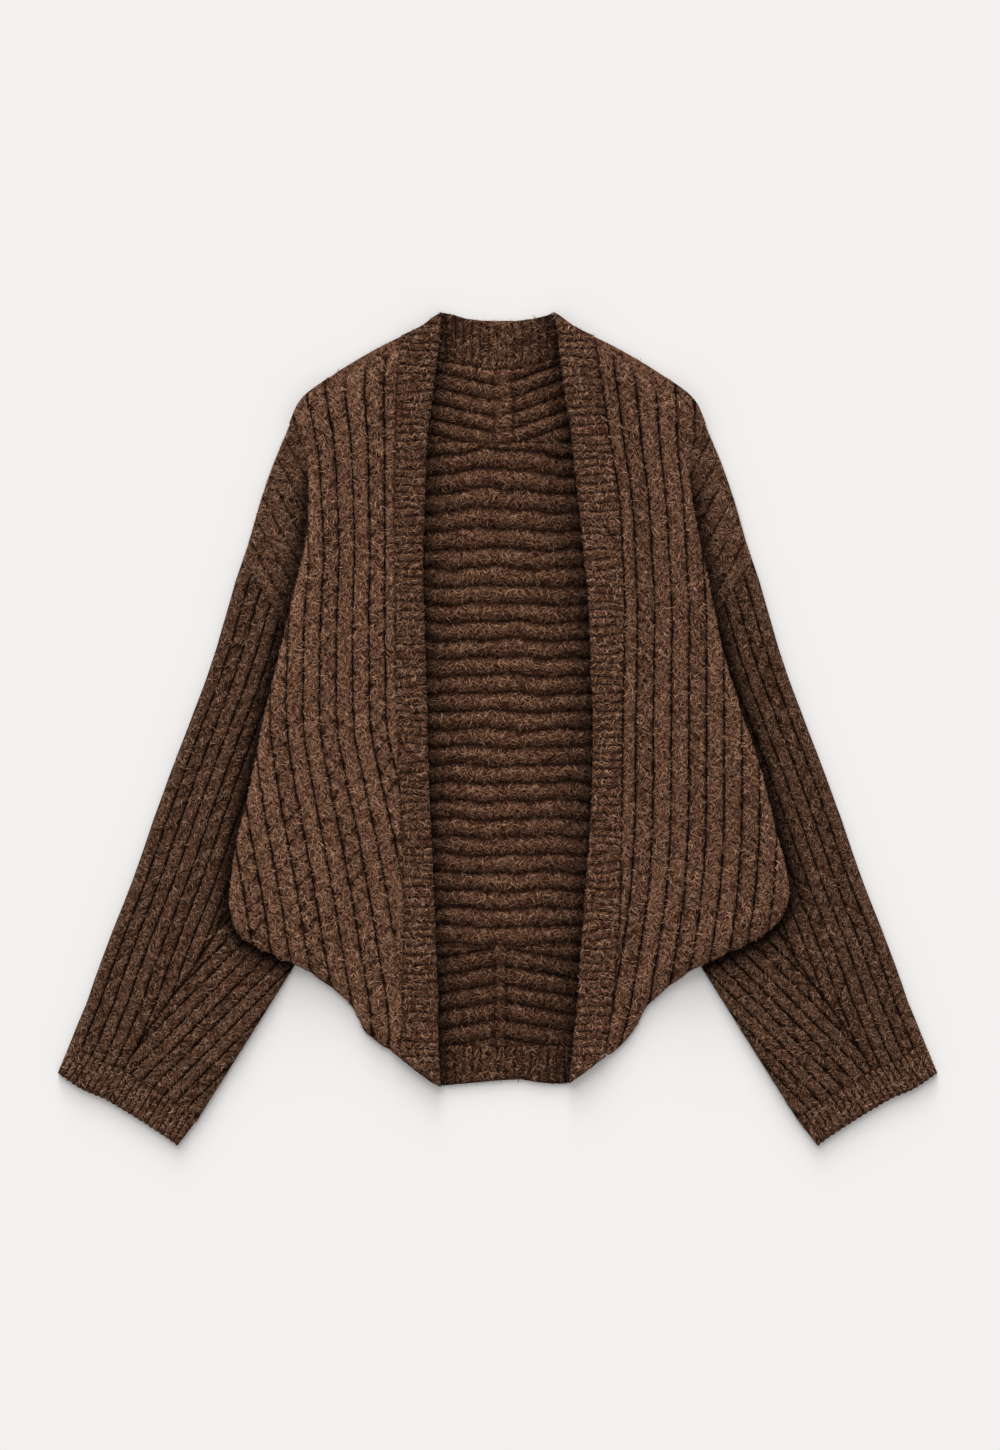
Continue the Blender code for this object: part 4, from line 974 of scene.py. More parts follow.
def make_sleeve(side):
    runs = sleeve_runs()
    outline = placed(joined(*runs), side)
    folds = [placed(run, side) for run in (runs[0], runs[2])]

    def outer(x, y):
        """Count across the outer ribs and length along them."""
        count = (ARM_EDGE_AT(y) - side * x) * OUTER_ACROSS / RIB_PITCH_ARM
        return count, side * x * OUTER_ALONG[0] - y * OUTER_ALONG[1]

    def inner(x, y):
        """Count across the inner ribs and length along them."""
        start_x, start_y = INNER_START
        count = ((side * x - start_x) + (y - start_y)) * -INNER_TURN / RIB_PITCH_ARM
        return count, (side * x - y) * INNER_TURN

    def off_mitre(x, y):
        return (side * x - MITRE_AT(y)) * MITRE_ACROSS

    def relief(x, y):
        off = off_mitre(x, y)
        ribs = [cable_rib(*family(x, y), RIB_RISE, GROOVE_DEPTH, side)[0] for family in (outer, inner)]
        beside = MITRE_LOW + (1 - MITRE_LOW) * smooth_step(np.abs(off) / MITRE_WIDTH)
        share = np.where(off > 0, *ribs) * beside
        return share, -GROOVE_DEPTH + (RIB_RISE + GROOVE_DEPTH) * share

    def creases(x, y):
        return waves(x, y, (0.5, 140, 1.1 * side, 1.0), (0.35, 85, -0.5 * side, 0.2)) - SLEEVE_SINK

    def weave(x, y):
        (outer_u, outer_v), (inner_u, inner_v) = outer(x, y), inner(x, y)
        is_outer = off_mitre(x, y) > 0
        return np.where(is_outer, outer_u, inner_u) * RIB_PITCH_ARM, np.where(is_outer, outer_v, inner_v)

    u, y = np.meshgrid(rib_steps(-1, 15, SLEEVE_COLUMNS), steps(*SLEEVE_HEIGHTS, SLEEVE_ROW))
    grid = (side * (ARM_EDGE_AT(y) - u * RIB_PITCH_ARM / OUTER_ACROSS), y)
    top = flat_tube(relief, folds, side, creases)
    light = light_beside((side,), ARM_LIGHT[side])
    piece = shell("sleeve_cloth_" + SIDE_NAME[side], outline, grid, top, level_at(0.0), weave, light)
    return open_tube(piece, sleeve_runs(SLIT_STEP), (1, 3), side)


def make_shoulder(side):
    runs = cap_runs()
    outline = placed(joined(*runs), side)
    across, along, grid = slanted_ribs(side, CAP_ACROSS, RIB_PITCH_CAP, outline, STRIP_COLUMNS, CAP_ROW)

    def relief(x, y):
        rib, lift = cable_rib(across(x, y), along(x, y), *CAP_RIB, -side)
        return 1 - CAP_DARK * (1 - rib), lift

    def weave(x, y):
        return across(x, y) * RIB_PITCH_ARM, along(x, y)

    top = flat_tube(relief, [placed(runs[0], side)], side, tuck=CAP_TUCK)
    light = light_beside((side,), CAP_LIGHT)
    piece = shell("shoulder_cloth_" + SIDE_NAME[side], outline, grid, top, level_at(0.0), weave, light)
    return open_tube(piece, cap_runs(SLIT_STEP), (1, 2), side)


def make_cuff(side):
    cosine, sine = CUFF_ACROSS
    runs = cuff_runs()
    edge = curve(points(CUFF_EDGE), CUFF_ROW)
    teeth = [CUFF_TOOTH * np.sin(2 * pi * (x * cosine + y * sine) / RIB_PITCH_CUFF) for x, y in edge]
    edge[1:-1] = [(x + sine * out, y - cosine * out) for (x, y), out in zip(edge, teeth)][1:-1]
    outline = placed(joined(runs[0], edge, *runs[2:]), side)
    across, along, grid = slanted_ribs(side, CUFF_ACROSS, RIB_PITCH_CUFF, outline, CUFF_COLUMNS, CUFF_ROW)

    def relief(x, y):
        return plain_rib(across(x, y), *CUFF_RIB)

    def weave(x, y):
        return across(x, y) * RIB_PITCH_CUFF, along(x, y)

    top = flat_tube(relief, [placed(run, side) for run in runs[:3]], side)
    name = "cuff_cloth_" + SIDE_NAME[side]
    piece = shell(name, outline, grid, top, level_at(0.0), weave, even_light(CUFF_LIGHT), CUFF_FLOOR_STEP)
    return open_tube(piece, cuff_runs(CUFF_SLIT_STEP), (1, 3), side)


# Fronts
CLIMB = 24.0                        # a front climbs from body to sleeve over this width
LIP_CLIMB = 7.0                     # and its edge over this one
SWELL_START, SWELL_WIDTH = 6.0, 62.0    # it swells from this far beside its seam, over this width
HEAD_ROUND = 24.0                   # width of the soft edge at the head of a front
FRONT_SEAM = (0.82, 1.6)            # height share at the seam between front and band, and how far it rises
BAND_SEAM = (0.8, 1.6)
# Painted shade on the ribs along a front's seam to its band: its depth on each side, where it starts to
# clear and over what width
SEAM_DARK = {-1: 0.35, 1: 0.8}
SEAM_DARK_START, SEAM_DARK_WIDTH = 0.3, 1.5
FRONT_FOLD_FADE = 4.0
VALLEY_MIDDLE, VALLEY_WIDTH, VALLEY_BLEND = 2.0, 7.0, 40.0
BAND_VALLEY, BAND_VALLEY_WIDTH = 0.55, 5.0
TURN_WIDTH = 26.0                   # below the back panel a front reaches the surface this close to its fold
BAND_EDGE, BAND_TOP_RISE = 1.8, 0.7     # of a front band: height of its edge, and rise over a plain layer
BAND_ROLL, BAND_ROLL_WIDTH = 0.9, 5.0   # and the roll along its free edge


def arm_depth(reach, y):
    """How far a plan point lies inside the area of shoulder and sleeve; negative outside."""
    below = INNER_SLOPE[0] * (reach - ARM_LINE) + INNER_SLOPE[1] * (y - ARMPIT_Y)
    return np.minimum(reach - ARM_LINE, below)


def scallop(fold, at, across):
    """A point of the fold moved out where a rib wraps round it and in where a groove does."""
    x, y = fold[at]
    before, after = fold[max(at - 1, 0)], fold[min(at + 1, len(fold) - 1)]
    run = Vector((after[0] - before[0], after[1] - before[1])).normalized()
    place = float(across(x, y))
    crossing = abs(float(across(x + run.x, y + run.y)) - place) * RIB_PITCH_FRONT
    push = SCALLOP * (abs(np.sin(pi * place)) ** 0.5 - SCALLOP_MEAN) * min(1.0, crossing) ** 2
    outward = Vector((run.y, -run.x))
    if outward.x * x < 0:
        outward.negate()
    return (x + outward.x * push, y + outward.y * push)


def edge_line(side, reach_at, high, low, gap=0.0):
    """Plan points down a front, where a column of its table puts them."""
    return [(side * (float(reach_at(y)) + gap), y) for y in np.arange(high, low, -5.0)]


def crease_share(side, y):
    """Depth of the long crease beside a front's seam at each height."""
    upper, lower, depth = CREASE[side]
    return depth * smooth_step((upper - y) / VALLEY_BLEND) * smooth_step((y - lower) / VALLEY_BLEND)


def make_front(side):
    seam_at, pitch_at, slip_at, swell_at = (
        column(FRONT[side], name) for name in ("seam", "pitch", "slip", "swell"))
    fold = curve(points(FOLD[side], side=side), 1.6)
    shoulder = curve(points(SHOULDER, side=side))
    fold_line = shoulder + fold
    seam_line = edge_line(side, seam_at, 360, -300)

    def across(x, y):
        return (side * x - seam_at(y) + slip_at(y)) / pitch_at(y) + 1 - FIRST_GROOVE[side]

    def deck_of(x, y):
        """Height of the plain cloth, and how far inside the sleeve's area a point lies."""
        depth = arm_depth(side * x, y)
        over_arm = smooth_step((depth + CLIMB) / CLIMB)
        swell = swell_at(y) * smooth_step((side * x - seam_at(y) - SWELL_START) / SWELL_WIDTH)
        return OVER_BODY + WALL + (OVER_ARM - OVER_BODY) * over_arm + swell, depth

    def top(x, y, inset):
        deck, depth = deck_of(x, y)
        head = head_share(y)
        edge = LIP_EDGE + (OVER_ARM_EDGE - head - LIP_EDGE) * smooth_step((depth + LIP_CLIMB) / LIP_CLIMB)
        fold_gap = nearest(x, y, fold_line, False)[0]
        seam_gap = nearest(x, y, seam_line, False)[0]
        turned = rounding(fold_gap, FOLD_ROUND) * (1 - head) + smooth_step(fold_gap / HEAD_ROUND) * head
        shape = np.minimum(turned, seam_share(seam_gap, *FRONT_SEAM))
        rib, lift = cable_rib(across(x, y), y, RIB_RISE, GROOVE_DEPTH, -side)
        # painted shade along the seam to the band
        clear = smooth_step((seam_gap - SEAM_DARK_START) / SEAM_DARK_WIDTH)
        rib = rib * (1 - SEAM_DARK[side] * (1 - clear))
        lift = lift * smooth_step(fold_gap / FRONT_FOLD_FADE)
        crease = waves(x, y, (0.6, 170, 1.2 * side, 0.4), (0.4, 95, 0.3, 2.0), (0.3, 52, 1.0, 4.0))
        off_seam = side * x - seam_at(y)
        valley = crease_share(side, y) * np.exp(-((off_seam - VALLEY_MIDDLE) / VALLEY_WIDTH) ** 2)
        height, middle, width = PUFF
        puff = height * np.exp(-((fold_gap - middle) / width) ** 2) * (1 - head)
        return edge + (deck - edge + lift + crease + puff - valley) * shape, rib

    def under(x, y):
        deck, depth = deck_of(x, y)
        on_body = (side * x < BODY_REACH + 0.5) & (y > BACK_FOOT_Y - 2)
        base = np.where(depth > -0.5, OVER_ARM, np.where(on_body, OVER_BODY, 0.0))
        fold_gap = nearest(x, y, fold_line, False)[0]
        base = np.where((base == 0) & (fold_gap > TURN_WIDTH), OVER_BODY, base)
        return base + np.maximum(deck - WALL - base - 0.3, 0) * rounding(fold_gap, FOLD_ROUND)

    def weave(x, y):
        return across(x, y) * RIB_PITCH_FRONT, y

    def light(x, y):
        share, middle, width = FOLD_CREST
        fold_gap = nearest(x, y, fold_line, False)[0]
        crest = share * np.exp(-((fold_gap - middle) / width) ** 2) * (1 - head_share(y))
        return np.ones(np.shape(x)), FRONT_LIGHT[side] * (1 + crest)

    seam = edge_line(side, seam_at, SEAM_TOP, SEAM_FOOT - 1, SEAM_GAP)
    outline = joined(shoulder, [scallop(fold, at, across) for at in range(len(fold))], seam[::-1])
    counts = across(np.array([p[0] for p in outline]), np.array([p[1] for p in outline]))
    ribs = rib_steps(counts.min() - 1, counts.max() + 1, STRIP_COLUMNS)
    u, y = np.meshgrid(ribs, steps(*FRONT_HEIGHTS, FRONT_ROW))
    grid = (side * ((u - 1 + FIRST_GROOVE[side]) * pitch_at(y) - slip_at(y) + seam_at(y)), y)
    return shell("front_cloth_" + SIDE_NAME[side], outline, grid, top, under, weave, light)


def make_front_band(side):
    seam_at, opening_at = (column(FRONT[side], name) for name in ("seam", "opening"))
    seam = edge_line(side, seam_at, SEAM_TOP, SEAM_FOOT - 1)
    opening = edge_line(side, opening_at, 350, -305)
    foot = curve(points(BAND_FOOT[side], side=side))
    head = curve(points(BAND_TOP, side=side))
    outline = joined(head[::-1], opening, foot[::-1], seam[::-1])
    free_edge = opening + foot[::-1]

    def count(x, y):
        return y / RIB_PITCH_BAND + waves(x, y, (0.2, 60, 1.4, 0.5 * side), (0.1, 31, 0.6, 1.0 + side))

    def top(x, y, inset):
        edge_gap = nearest(x, y, free_edge, False)[0]
        share = np.minimum(rounding(edge_gap, SEAM_ROUND), seam_share(inset, *BAND_SEAM))
        rib, lift = plain_rib(count(x, y), *FRONT_BAND_RIB)
        edge = OVER_BODY + BAND_EDGE
        roll = BAND_ROLL * np.exp(-((edge_gap - BAND_ROLL_WIDTH) / BAND_ROLL_WIDTH) ** 2)
        off_seam = seam_at(y) - side * x
        valley = BAND_VALLEY * crease_share(side, y) * np.exp(-(off_seam / BAND_VALLEY_WIDTH) ** 2)
        return edge + (OVER_BODY + WALL + BAND_TOP_RISE + lift + roll - valley - edge) * share, rib

    def weave(x, y):
        return y, x

    ribs = rib_steps(*(height / RIB_PITCH_BAND for height in FRONT_BAND_HEIGHTS), BAND_COLUMNS)
    off, y_rib = np.meshgrid(np.linspace(*BAND_SHARES), ribs)
    y = y_rib * RIB_PITCH_BAND
    for _ in range(6):
        x = side * (opening_at(y) + (seam_at(y) - opening_at(y)) * off)
        y = (y_rib - count(x, y)) * RIB_PITCH_BAND + y
    name = "front_band_cloth_" + SIDE_NAME[side]
    under = level_at(OVER_BODY)
    return shell(name, outline, (x, y), top, under, weave, even_light(BAND_LIGHT[side]))


# Materials ----------------------------------------------------------------------------------------

# Sizes of the knit's patterns. The strands and the grain of the real yarn are finer than this; they are
# drawn as coarse as they need to be to show in the render.
STRAND_LENGTH, STRAND_WIDTH = 4.6, 0.95
GRAIN_SIZE = 1.1
STRAND_SIN, STRAND_COS = 0.60, 0.80         # slope of the strands in each half of a wale
STRAY_SIZE, STRAY = 7.0, 5.0                # stitches stray over this length, by up to half of STRAY
PATCH_SIZE = 17.0                           # patches of a redder or more olive yarn
BREAK_SIZE, LINE_BREAK_SIZE = 9.0, 8.0      # places where nap hides a groove, or a line between strands
RELIEF_DEPTH = 2.4
FIBRE_PATCH = 3.0

# Shares
STRAND_SHARE, GRAIN_SHARE = 0.68, 0.32
GROOVE_DARK, GROOVE_CLEAR = 0.36, 0.95      # of the rib attribute: where the painted groove shade is deepest and where it ends
LINE_DARK, WEAK_LINE = 0.30, 0.72           # colour left by painted shade in a clear and a faint line between two strands


def linear(colour):
    """Linear colour from an sRGB hex value."""
    parts = [int(colour[at:at + 2], 16) / 255 for at in (1, 3, 5)]
    return tuple(p / 12.92 if p <= 0.04045 else ((p + 0.055) / 1.055) ** 2.4 for p in parts) + (1,)


def add(tree, kind, inputs=None, **settings):
    """A node with its settings, and its inputs as values or as sockets to link."""
    node = tree.nodes.new(kind)
    for name, value in settings.items():
        setattr(node, name, value)
    for name, value in (inputs or {}).items():
        socket = node.inputs[name]
        if isinstance(value, bpy.types.NodeSocket):
            tree.links.new(value, socket)
        else:
            socket.default_value = value
    return node


def new_material(name, **inputs):
    """A new material, its node tree and its shader, with the shader's own inputs set."""
    material = bpy.data.materials.new(name)
    material.use_nodes = True
    shader = material.node_tree.nodes["Principled BSDF"]
    for label, value in inputs.items():
        shader.inputs[label.replace("_", " ")].default_value = value
    return material, material.node_tree, shader


def knit(name, yarn, wale, deepest, cover, pitch=0.0, dashes=0.0, crease=0.0):
    """Wool and alpaca blend, melange spun, knitted and brushed.

    It looks soft and quite matt: flecks of dark and pale fibre follow the slanting strands of the V
    stitches, and the nap hides parts of the grooves, whose darkness is painted shade. yarn holds its dark,
    middle, light, reddish and olive colours, wale the width of a stitch, deepest the colour that the painted
    shade leaves in a groove and cover how much of the grooves the nap hides. With a pitch the ribs are
    cables of two strands with painted shade in the lines between them, with dashes the grooves are broken
    at each row, and crease is the share of a pitch that a painted groove takes where the relief lacks it.
    The colour is also multiplied by the shade attribute, which holds the painted light and shade of each
    area.
    """
    material, tree, shader = new_material(
        name, Roughness=0.95, Sheen_Weight=0.05, Sheen_Roughness=0.5, Sheen_Tint=linear("#C9A083"),
        Specular_IOR_Level=0.03)
    dark, middle, light, reddish, olive = (linear(colour) for colour in yarn)

    def mix(share, a, b, blend="MIX"):
        node = add(tree, "ShaderNodeMix", {0: share, 6: a, 7: b}, data_type="RGBA", blend_type=blend)
        return node.outputs[2]

    def maths(operation, a, b=0.0):
        return add(tree, "ShaderNodeMath", {0: a, 1: b}, operation=operation).outputs[0]

    def times(a, b):
        return maths("MULTIPLY", a, b)

    def ramp(value, low, high, start=0.0, end=1.0):
        node = add(tree, "ShaderNodeMapRange", {0: value, 1: low, 2: high, 3: start, 4: end}, clamp=True)
        return node.outputs[0]

    def noise(place, scale, detail=2.0, rough=0.6):
        settings = {"Vector": place, "Scale": scale, "Detail": detail, "Roughness": rough}
        return add(tree, "ShaderNodeTexNoise", settings).outputs[0]

    def stored(label):
        return add(tree, "ShaderNodeAttribute", attribute_name=label).outputs["Fac"]

    # Place in the knit, a little astray
    place = add(tree, "ShaderNodeTexCoord").outputs["Object"]
    woven = add(tree, "ShaderNodeUVMap", uv_map="knit").outputs[0]
    apart = add(tree, "ShaderNodeSeparateXYZ", {0: woven})
    stray = times(maths("SUBTRACT", noise(place, 1 / (STRAY_SIZE * MM), 1.0), 0.5), STRAY * MM)
    u = maths("ADD", apart.outputs[0], stray)
    v = maths("ADD", apart.outputs[1], stray)

    # Strands that slant up from the middle of each wale to both sides
    half = maths("DIVIDE", u, wale / 2 * MM)
    column_of = maths("FLOOR", half)
    lean = maths("SUBTRACT", times(maths("FLOORED_MODULO", column_of, 2.0), 2.0), 1.0)
    slope_u, slope_v = times(lean, times(u, STRAND_SIN)), times(lean, times(v, STRAND_SIN))
    along = maths("ADD", times(v, STRAND_COS), slope_u)
    beside = maths("SUBTRACT", times(u, STRAND_COS), slope_v)
    strand_place = add(tree, "ShaderNodeCombineXYZ", {
        0: maths("DIVIDE", along, STRAND_LENGTH * MM), 1: maths("DIVIDE", beside, STRAND_WIDTH * MM),
        2: times(column_of, 7.3),
    }).outputs[0]

    # Melange colour: patches, then dark and light flecks
    strand = noise(strand_place, 1.0, 1.5, 0.6)
    grain = noise(place, 1 / (GRAIN_SIZE * MM), 2.0, 0.7)
    mingled = maths("ADD", times(strand, STRAND_SHARE), times(grain, GRAIN_SHARE))
    patch = noise(place, 1 / (PATCH_SIZE * MM), 2.0)
    colour = mix(ramp(patch, 0.50, 0.70, 0.0, 0.6), middle, reddish)
    colour = mix(ramp(patch, 0.46, 0.30, 0.0, 0.5), colour, olive)
    colour = mix(ramp(mingled, 0.41, 0.51), dark, colour)
    colour = mix(ramp(mingled, 0.53, 0.63, 0.0, 0.95), colour, light)

    # Painted shade in the grooves between the ribs, hidden in places by the nap
    groove = ramp(stored("rib"), GROOVE_DARK, GROOVE_CLEAR, deepest, 1.0)
    if pitch:
        count = maths("DIVIDE", apart.outputs[0], pitch * MM)
        whole = maths("FLOOR", count)
        into = maths("SUBTRACT", count, whole)
    if crease:
        nearer = maths("MINIMUM", into, maths("SUBTRACT", 1.0, into))
        groove = maths("MINIMUM", groove, ramp(nearer, 0.3 * crease, crease, deepest, 1.0))
    broken = noise(place, 1 / (BREAK_SIZE * MM), 2.0)
    hidden = ramp(broken, 0.52 - 0.08 * cover, 0.74 - 0.16 * cover, 0.0, cover)
    groove = maths("MAXIMUM", groove, hidden)

    # Painted shade in the lines between the two strands of a cable, clear in one rib of three
    if pitch:
        turn = maths("ADD", times(into, CABLE_LEAN), times(whole, CABLE_SHIFT))
        lean = maths("ADD", maths("DIVIDE", v, CABLE_TURN * MM), turn)
        valley = maths("ABSOLUTE", maths("SINE", times(lean, pi)))
        strong = maths("COMPARE", maths("FLOORED_MODULO", whole, 3.0), 1.0)
        faint = ramp(strong, 0.0, 1.0, WEAK_LINE, 0.0)
        lines = maths("MAXIMUM", ramp(valley, 0.08, 0.42, LINE_DARK, 1.0), faint)
        covered = ramp(noise(place, 1 / (LINE_BREAK_SIZE * MM)), 0.5, 0.62)
        groove = times(groove, maths("MAXIMUM", lines, covered))
    if dashes:
        stitch = maths("ABSOLUTE", maths("SINE", times(v, pi / (dashes * MM))))
        groove = maths("MAXIMUM", groove, ramp(stitch, 0.5, 0.1, 0.0, 0.75))
    # the painted shade of the grooves and the painted light and shade of the shade attribute darken the
    # colour
    shade = times(groove, stored("shade"))
    tree.links.new(mix(1.0, colour, shade, "MULTIPLY"), shader.inputs["Base Color"])
    bump = add(tree, "ShaderNodeBump", {"Height": mingled, "Strength": 1.0, "Distance": RELIEF_DEPTH * MM})
    tree.links.new(bump.outputs[0], shader.inputs["Normal"])
    return material


def nap(name, colour, light):
    """Loose guard fibres of the brushed yarn: a pale, slightly glossy fuzz over the knit under them."""
    material, tree, shader = new_material(name, Roughness=0.8, Specular_IOR_Level=0.08)
    place = add(tree, "ShaderNodeTexCoord").outputs["Object"]
    spotted = {"Vector": place, "Scale": 1 / (FIBRE_PATCH * MM), "Detail": 1.0}
    spots = add(tree, "ShaderNodeTexNoise", spotted)
    share = add(tree, "ShaderNodeMapRange", {0: spots.outputs[0], 1: 0.4, 2: 0.62})
    colours = {0: share.outputs[0], 6: linear(colour), 7: linear(light)}
    mixed = add(tree, "ShaderNodeMix", colours, data_type="RGBA")
    # the painted light and shade of the cloth under the fibres darken them too
    dim = add(tree, "ShaderNodeAttribute", attribute_name="shade")
    shades = {0: 1.0, 6: mixed.outputs[2], 7: dim.outputs["Fac"]}
    shaded = add(tree, "ShaderNodeMix", shades, data_type="RGBA", blend_type="MULTIPLY")
    tree.links.new(shaded.outputs[2], shader.inputs["Base Color"])
    return material


# Nap ----------------------------------------------------------------------------------------------

NAP_DENSITY = 125000.0              # fibres on a square metre
NAP_FLOOR = 0.2                     # no fibre goes lower than this
NAP_RIB = 0.8                       # fibres grow where the rib attribute is above this
NAP_FACING = -0.05                  # and where a normal points up more than this
FIBRE_TILT = (0.3, 0.35)
FIBRE_SIZE = (0.55, 1.35)


def fibre_shape(reach, widest, bend, parts):
    """One curved fibre as a narrow ribbon lying along X, from half its length and half its width.

    Real guard fibres are far finer; these are as fine as the render shows.
    """
    mesh = bpy.data.meshes.new("fibre")
    share = np.linspace(-1, 1, parts + 1)
    along = share * reach
    side = bend * np.sin(along * 0.7 + 0.4)
    lift = 0.75 * (1 - share ** 2) - 0.15
    half = widest * (1 - 0.75 * share ** 2)
    verts = [(a, s - h, z) for a, s, h, z in zip(along, side, half, lift)]
    verts += [(a, s + h, z) for a, s, h, z in zip(along, side, half, lift)]
    faces = [(i, i + 1, i + parts + 2, i + parts + 1) for i in range(parts)]
    mesh.from_pydata([tuple(MM * p for p in v) for v in verts], [], faces)
    return bpy.data.objects.new("fibre", mesh)


def nap_tree(fibre, material):
    """Geometry Nodes: fibres scattered over the upper faces of a cloth."""
    tree = bpy.data.node_groups.new("brushed_nap", "GeometryNodeTree")
    for label, way, kind in (
        ("Geometry", "INPUT", "Geometry"), ("Density", "INPUT", "Float"), ("Seed", "INPUT", "Int"),
        ("Geometry", "OUTPUT", "Geometry"),
    ):
        tree.interface.new_socket(label, in_out=way, socket_type="NodeSocket" + kind)
    given = add(tree, "NodeGroupInput")
    normal = add(tree, "GeometryNodeInputNormal").outputs[0]
    upward = add(tree, "ShaderNodeSeparateXYZ", {0: normal}).outputs[2]
    chosen = add(tree, "ShaderNodeMath", {0: upward, 1: NAP_FACING}, operation="GREATER_THAN").outputs[0]
    for label in ("bare", "rib"):
        stored = add(tree, "GeometryNodeInputNamedAttribute", {"Name": label}, data_type="FLOAT")
        both = {0: chosen, 1: stored.outputs[0]}
        chosen = add(tree, "ShaderNodeMath", both, operation="MULTIPLY").outputs[0]
    compared = {0: chosen, 1: NAP_RIB}
    grown = add(tree, "FunctionNodeCompare", compared, data_type="FLOAT", operation="GREATER_THAN")
    scatter = add(tree, "GeometryNodeDistributePointsOnFaces", {
        "Mesh": given.outputs["Geometry"], "Selection": grown.outputs[0],
        "Density": given.outputs["Density"], "Seed": given.outputs["Seed"],
    })
    tilt_x, tilt_y = FIBRE_TILT
    turns = {0: (-tilt_x, -tilt_y, 0.0), 1: (tilt_x, tilt_y, 2 * pi), 8: 3}
    turn = add(tree, "FunctionNodeRandomValue", turns, data_type="FLOAT_VECTOR").outputs[0]
    aligned = add(tree, "FunctionNodeRotateRotation", {
        "Rotation": scatter.outputs["Rotation"], "Rotate By": turn,
    }, rotation_space="LOCAL").outputs[0]
    sizes = {2: FIBRE_SIZE[0], 3: FIBRE_SIZE[1], 8: 11}
    size = add(tree, "FunctionNodeRandomValue", sizes, data_type="FLOAT").outputs[1]
    shape = add(tree, "GeometryNodeObjectInfo", {"Object": fibre})
    fibres = add(tree, "GeometryNodeInstanceOnPoints", {
        "Points": scatter.outputs["Points"], "Instance": shape.outputs["Geometry"],
        "Rotation": aligned, "Scale": size,
    })
    real = add(tree, "GeometryNodeRealizeInstances", {0: fibres.outputs[0]})
    dressed = add(tree, "GeometryNodeSetMaterial", {"Geometry": real.outputs[0], "Material": material})
    add(tree, "NodeGroupOutput", {0: dressed.outputs[0]})
    return tree


def add_nap(cloth, tree, density, seed):
    """A piece of loose fibres over one cloth."""
    piece = bpy.data.objects.new(cloth.name.replace("cloth", "nap"), cloth.data.copy())
    bpy.context.scene.collection.objects.link(piece)
    modifier = piece.modifiers.new("nap", "NODES")
    modifier.node_group = tree
    names = {item.name: item.identifier for item in tree.interface.items_tree if item.in_out == "INPUT"}
    modifier[names["Density"]] = density
    modifier[names["Seed"]] = seed
    settle(piece)
    spots = np.empty(len(piece.data.vertices) * 3)
    piece.data.vertices.foreach_get("co", spots)
    spots[2::3] = np.maximum(spots[2::3], NAP_FLOOR * MM)
    piece.data.vertices.foreach_set("co", spots)
    return piece


# Garment ------------------------------------------------------------------------------------------

# One yarn; each area's palette matches how it looks there, so it partly holds painted light and shade.
# Its dark, middle, light, reddish and olive colours
FRONT_YARN = ("#231209", "#624332", "#916C56", "#603929", "#564332")
SLEEVE_YARN = ("#241309", "#583C2C", "#80604D", "#593425", "#4E3E2F")
INSIDE_YARN = ("#1D0D06", "#533729", "#7E5B48", "#502E21", "#473728")
BAND_YARN = ("#201008", "#55382A", "#805E4A", "#533024", "#4A3929")
RIM_YARN = ("#1D0D06", "#4B3024", "#735341", "#492A1E", "#413224")
ROW_LENGTH = 4.6           # of the stitches that break the grooves of the bands

front_knit = knit("brushed_melange_knit_front", FRONT_YARN, 7.6, 0.05, 0.45, RIB_PITCH_FRONT)
sleeve_knit = knit("brushed_melange_knit_sleeve", SLEEVE_YARN, 6.4, 0.12, 0.3, RIB_PITCH_ARM, crease=0.1)
cap_knit = knit("brushed_melange_knit_cap_and_cuff", SLEEVE_YARN, 6.4, 0.14, 0.3, RIB_PITCH_ARM)
inside_knit = knit("brushed_melange_knit_inside", INSIDE_YARN, 6.0, 0.50, 0.95)
band_knit = knit("brushed_melange_knit_band", BAND_YARN, 5.2, 0.48, 0.9, dashes=ROW_LENGTH)
rim_knit = knit("brushed_melange_knit_rim", RIM_YARN, 5.2, 0.30, 0.8, dashes=ROW_LENGTH)
front_fibre = nap("brushed_guard_fibres_front", "#7E5C46", "#B88D72")
inner_fibre = nap("brushed_guard_fibres_inside", "#6E4C37", "#AC8265")
sleeve_fibre = nap("brushed_guard_fibres_sleeve", "#715241", "#AE886E")

front_nap = nap_tree(fibre_shape(2.8, 0.24, 0.4, 3), front_fibre)
inner_nap = nap_tree(fibre_shape(3.4, 0.24, 0.7, 4), inner_fibre)
sleeve_nap = nap_tree(fibre_shape(2.5, 0.2, 0.4, 3), sleeve_fibre)
NAP_OF = {
    front_knit.name: front_nap, band_knit.name: front_nap, sleeve_knit.name: sleeve_nap,
    cap_knit.name: sleeve_nap, inside_knit.name: inner_nap, rim_knit.name: inner_nap,
}

# Piece, node, material, slot, what it rests on, cut width and length in metres, area of the cut
on_floor = ["floor"]
made = [
    (make_back(), "back_panel", inside_knit, "knit_inside", on_floor, (0.303, 0.446), None),
    (make_neck_band(), "neck_band", rim_knit, "knit_band", on_floor, (0.152, 0.052), 0.0053),
    (make_hem_band(), "hem_band", rim_knit, "knit_band", on_floor, (0.175, 0.035), 0.0043),
]
for side, end in SIDE_NAME.items():
    made += [
        (make_yoke(side), "yoke_" + end, inside_knit, "knit_inside", on_floor, (0.151, 0.087), 0.0103),
        (make_tail(side), "tail_" + end, inside_knit, "knit_inside", on_floor, (0.151, 0.087), 0.0111),
        (make_shoulder(side), "shoulder_" + end, cap_knit, "knit_sleeve", on_floor, (0.145, 0.292), 0.0225),
        (make_sleeve(side), "sleeve_" + end, sleeve_knit, "knit_sleeve", on_floor, (0.40, 0.50), 0.1134),
        (make_cuff(side), "cuff_" + end, cap_knit, "knit_sleeve", on_floor, (0.252, 0.036), None),
    ]
